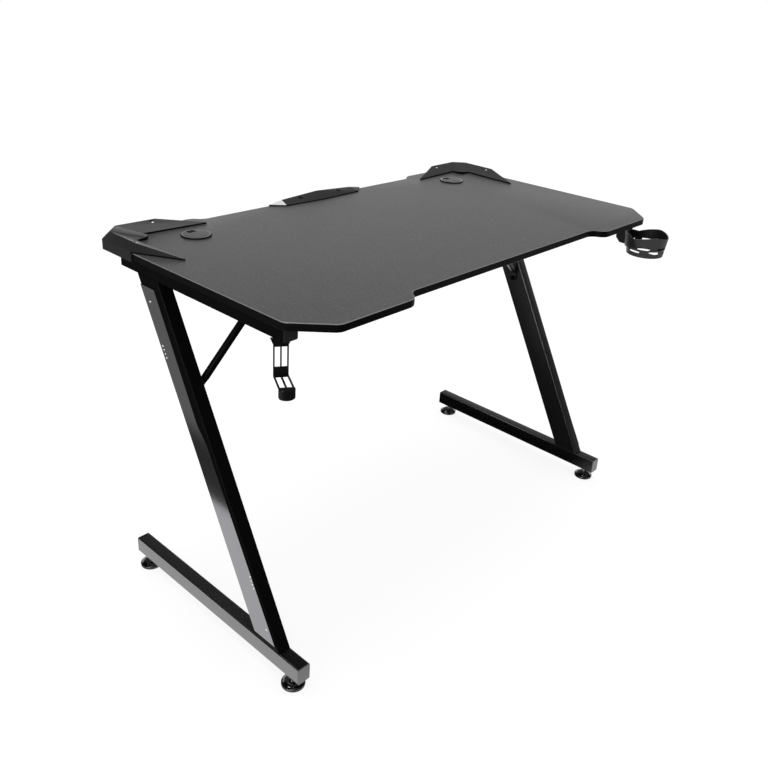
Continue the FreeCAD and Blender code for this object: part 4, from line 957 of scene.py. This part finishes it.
class DESK_OT_studio(bpy.types.Operator):
    """Build the floor, the lights, the dark flags and the camera"""

    bl_idname = "desk.studio"
    bl_label = "Studio"

    # What a reflection sees at a height over the horizon: sine of the angle, and brightness.
    BACKDROP = ((0.0, 1.0), (0.21, 1.0), (0.25, 0.76), (0.30, 0.50), (0.34, 0.36), (0.40, 0.20),
                (0.485, 0.08), (0.60, 0.03), (0.80, 0.02))
    BACKDROP_STRENGTH = 1.25
    # The floor: how much of a shadow the eye sees on it, its own brightness to the eye, and its half width.
    SHADOW_GREY = 0.3
    FLOOR_BRIGHTNESS = 0.82
    FLOOR_REACH = 30.0
    # Soft lights: the setting with its power, then place, target and size in metres.
    LIGHTS = {
        "overhead_softbox": ("key_power", (0.1, 0.4, 2.9), (0.1, 0.4, 0.0), (2.8, 2.6)),
        "front_softbox": ("front_power", (-1.9, -1.75, 1.9), (0.0, 0.0, 0.5), (0.5, 0.5)),
        "side_panel": ("side_power", (-4.2, -1.4, 2.2), (0.5, -1.4, 2.2), (3.2, 2.4)),
    }
    # Black cards: height over the floor, reach of those on the floor, and height of the upright ones.
    CARD_LIFT = 1 * MM
    CARD_REACH = 5.0
    CARD_HEIGHT = 6.0
    WHITE = (1.0, 1.0, 1.0, 1.0)
    SENSOR_WIDTH = 36.0

    def execute(self, context):
        studio = context.scene.desk_studio
        context.scene.view_settings.view_transform = "Standard"
        self.make_world(context.scene, studio)
        self.make_floor(context.scene.desk_colours)
        self.make_lights(studio)
        self.make_flags()
        self.make_camera(context.scene, studio)
        return {"FINISHED"}

    def make_world(self, scene, studio):
        """White for the eye, a backdrop that darkens upwards for reflections, and a soft fill light."""
        world = bpy.data.worlds.new("studio_white")
        scene.world = world
        world.use_nodes = True
        tree = world.node_tree
        tree.nodes.clear()
        path = add_node(tree, "ShaderNodeLightPath")
        white = add_node(tree, "ShaderNodeBackground", {"Color": self.WHITE})
        fill = add_node(tree, "ShaderNodeBackground", {
            "Color": self.WHITE, "Strength": studio.fill_strength})
        place = add_node(tree, "ShaderNodeTexCoord")
        height = add_node(tree, "ShaderNodeSeparateXYZ", links={"Vector": place})
        ramp = add_node(tree, "ShaderNodeValToRGB", links={"Fac": height.outputs["Z"]})
        stops = ramp.color_ramp.elements
        while len(stops) < len(self.BACKDROP):
            stops.new(1.0)
        for stop, (sine, level) in zip(stops, self.BACKDROP):
            stop.position = sine
            stop.color = rgba([level] * 3)
        backdrop = add_node(tree, "ShaderNodeBackground", {"Strength": self.BACKDROP_STRENGTH},
                            {"Color": ramp})
        lit = add_node(tree, "ShaderNodeMixShader", links={"Fac": seen_rays(tree), 1: fill, 2: white})
        mix = add_node(tree, "ShaderNodeMixShader", links={
            "Fac": path.outputs["Is Glossy Ray"], 1: lit, 2: backdrop})
        add_node(tree, "ShaderNodeOutputWorld", links={"Surface": mix})

    def sheet(self, name, corners, material):
        """A flat stage sheet."""
        mesh = bpy.data.meshes.new(name)
        mesh.from_pydata(corners, [], [tuple(range(len(corners)))])
        mesh.materials.append(material)
        sheet = new_object(name, mesh)
        return sheet

    def make_floor(self, colours):
        """A matt white floor that bounces light, and that the eye sees as white with a faint shadow."""
        material, tree, bounce = start_material("matt_white_floor", {
            "Base Color": rgba(colours.floor), "Roughness": 1.0, "Specular IOR Level": 0.0})
        shadow = add_node(tree, "ShaderNodeBsdfDiffuse", {"Color": rgba([self.SHADOW_GREY] * 3)})
        white = add_node(tree, "ShaderNodeEmission", {
            "Color": self.WHITE, "Strength": self.FLOOR_BRIGHTNESS})
        seen_white = add_node(tree, "ShaderNodeAddShader", links={0: shadow, 1: white})
        mix = add_node(tree, "ShaderNodeMixShader", links={"Fac": seen_rays(tree), 1: bounce, 2: seen_white})
        tree.links.new(mix.outputs["Shader"], tree.nodes["Material Output"].inputs["Surface"])
        reach = self.FLOOR_REACH
        self.sheet("studio_floor", [(-reach, -reach, 0.0), (reach, -reach, 0.0),
                                    (reach, reach, 0.0), (-reach, reach, 0.0)], material)

    def make_lights(self, studio):
        """Lights that the eye doesn't see: a large one above, one by the camera, a panel for highlights."""
        for name, (power, place, target, size) in self.LIGHTS.items():
            data = bpy.data.lights.new(name, "AREA")
            data.shape = "RECTANGLE"
            data.size, data.size_y = size
            data.energy = getattr(studio, power)
            light = new_object(name, data)
            light.location = place
            light.rotation_euler = (Vector(target) - Vector(place)).to_track_quat("-Z", "Y").to_euler()
            light.visible_camera = False
            light.visible_diffuse = name != "side_panel"

    def black_card(self, name, corners, direction=(1.0, 0.0, 0.0), fade=(10.0, 11.0), clear=(0.0, 1.0)):
        """A black sheet that only reflections see.

        Along a direction it fades from one clearness to another; the default fade lies beyond every card.
        """
        material = bpy.data.materials.new(name)
        material.use_nodes = True
        tree = material.node_tree
        tree.nodes.clear()
        place = add_node(tree, "ShaderNodeTexCoord")
        along = add_node(tree, "ShaderNodeVectorMath", {"operation": "DOT_PRODUCT", 1: direction},
                         {0: place.outputs["Object"]})
        share = add_node(tree, "ShaderNodeMapRange", {
            "interpolation_type": "SMOOTHSTEP", "From Min": fade[0], "From Max": fade[1],
            "To Min": clear[0], "To Max": clear[1]}, {"Value": along.outputs["Value"]})
        black = add_node(tree, "ShaderNodeEmission", {"Color": (0.0, 0.0, 0.0, 1.0)})
        open_air = add_node(tree, "ShaderNodeBsdfTransparent")
        mix = add_node(tree, "ShaderNodeMixShader", links={"Fac": share, 1: black, 2: open_air})
        add_node(tree, "ShaderNodeOutputMaterial", links={"Surface": mix})
        card = self.sheet(name, corners, material)
        for ray in ("camera", "diffuse", "shadow", "transmission"):
            setattr(card, f"visible_{ray}", False)

    def floor_card(self, name, corners, **fading):
        """A black card that lies just over the floor."""
        self.black_card(name, [(x, y, self.CARD_LIFT) for x, y in corners], **fading)

    def make_flags(self):
        """Black cards round the desk that only reflections see, as a photographer sets them to keep a shiny
        object dark; the one between the feet is a painted shade of the floor under the desk.
        """
        left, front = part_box("foot_beam_left")[0].xy
        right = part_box("foot_beam_right")[0].x
        far = self.CARD_REACH
        # A pale strip of floor stays open round the left foot; the cards begin at these distances from it.
        near, inner, apron, strip_end = left - 0.26, left + 0.07, front - 0.11, 0.5
        dark_end, pale_start = left - 0.395, left - 0.465
        # A card that fades lies before the right foot's toe.
        toe, toe_end = right - 0.11, front + 0.1
        self.floor_card("card_floor_left", ((-far, apron), (near, apron), (near, far), (-far, far)),
                        fade=(pale_start, dark_end), clear=(0.27, 0.06))
        # Painted shade: the floor between and behind the feet, in the desk's shadow, shown black in
        # reflections.
        self.floor_card("card_floor_between", ((inner, apron), (toe, apron), (toe, toe_end),
                                               (right, toe_end), (right, far), (inner, far)))
        self.floor_card("card_floor_toe", ((toe, apron), (right, apron), (right, toe_end), (toe, toe_end)),
                        direction=(0.0, 1.0, 0.0), fade=(apron, toe_end), clear=(0.5, 0.0))
        self.floor_card("card_floor_rear", ((near, strip_end), (inner, strip_end),
                                            (inner, far), (near, far)))
        self.floor_card("card_floor_front", ((-6.0, -6.0), (7.0, -6.0), (7.0, apron), (-6.0, apron)),
                        fade=(0.8, 1.3), clear=(0.0, 0.4))
        # Upright cards before the desk and to its left, by the two ends of their feet.
        for name, start, end in (("card_front", (-6.0, -3.5), (8.0, -3.5)),
                                 ("card_left", (-4.5, -4.0), (-4.5, 12.0))):
            top = self.CARD_HEIGHT
            self.black_card(name, [(*start, 0.0), (*end, 0.0), (*end, top), (*start, top)])

    def make_camera(self, scene, studio):
        """The photo's camera, turned by yaw, pitch and roll, with its place measured from the tabletop."""
        turn = Matrix.Rotation(-studio.camera_yaw, 4, "Z")
        turn @= Matrix.Rotation(math.pi / 2 - studio.camera_pitch, 4, "X")
        turn @= Matrix.Rotation(studio.camera_roll, 4, "Z")
        data = bpy.data.cameras.new("photo_view")
        data.lens = studio.focal_length
        data.sensor_width = self.SENSOR_WIDTH
        data.shift_x, data.shift_y = studio.camera_shift
        camera = new_object("photo_view", data)
        low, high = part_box("tabletop_board")
        middle = Vector(((low.x + high.x) / 2, (low.y + high.y) / 2, 0.0))
        camera.matrix_world = Matrix.Translation(middle + Vector(studio.camera_place)) @ turn
        scene.camera = camera


GROUPS = {"desk_sizes": DeskSizes, "desk_colours": DeskColours, "desk_studio": DeskStudio}
PIECE_OPERATORS = (
    DESK_OT_tabletop, DESK_OT_corner_guards, DESK_OT_rear_spoiler, DESK_OT_cable_outlets,
    DESK_OT_leg_frames, DESK_OT_crossbar, DESK_OT_levelling_feet, DESK_OT_headset_hook,
    DESK_OT_cup_holder, DESK_OT_fasteners, DESK_OT_studio,
)


class DESK_PT_sidebar(bpy.types.Panel):
    """Lists the desk's pieces and its settings"""

    bl_idname = "DESK_PT_sidebar"
    bl_label = "Gaming Desk"
    bl_space_type = "VIEW_3D"
    bl_region_type = "UI"
    bl_category = "Desk"

    def draw(self, context):
        """Buttons for the pieces, and then every setting."""
        for operator in PIECE_OPERATORS:
            self.layout.operator(operator.bl_idname)
        for group in GROUPS:
            values = getattr(context.scene, group)
            for name in values.bl_rna.properties.keys():
                if name not in ("rna_type", "name"):
                    self.layout.prop(values, name)


CLASSES = (*GROUPS.values(), *PIECE_OPERATORS, DESK_PT_sidebar)


def register():
    """Registers the classes and puts the settings on the scene."""
    for item in CLASSES:
        bpy.utils.register_class(item)
    for name, group in GROUPS.items():
        setattr(bpy.types.Scene, name, bpy.props.PointerProperty(type=group))


def unregister():
    """Takes back what register did."""
    for name in GROUPS:
        delattr(bpy.types.Scene, name)
    for item in reversed(CLASSES):
        bpy.utils.unregister_class(item)


def main():
    """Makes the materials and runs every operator."""
    register()
    make_finishes(bpy.context.scene.desk_colours)
    for operator in PIECE_OPERATORS:
        group, name = operator.bl_idname.split(".")
        getattr(getattr(bpy.ops, group), name)()


if __name__ == "__main__":
    main()
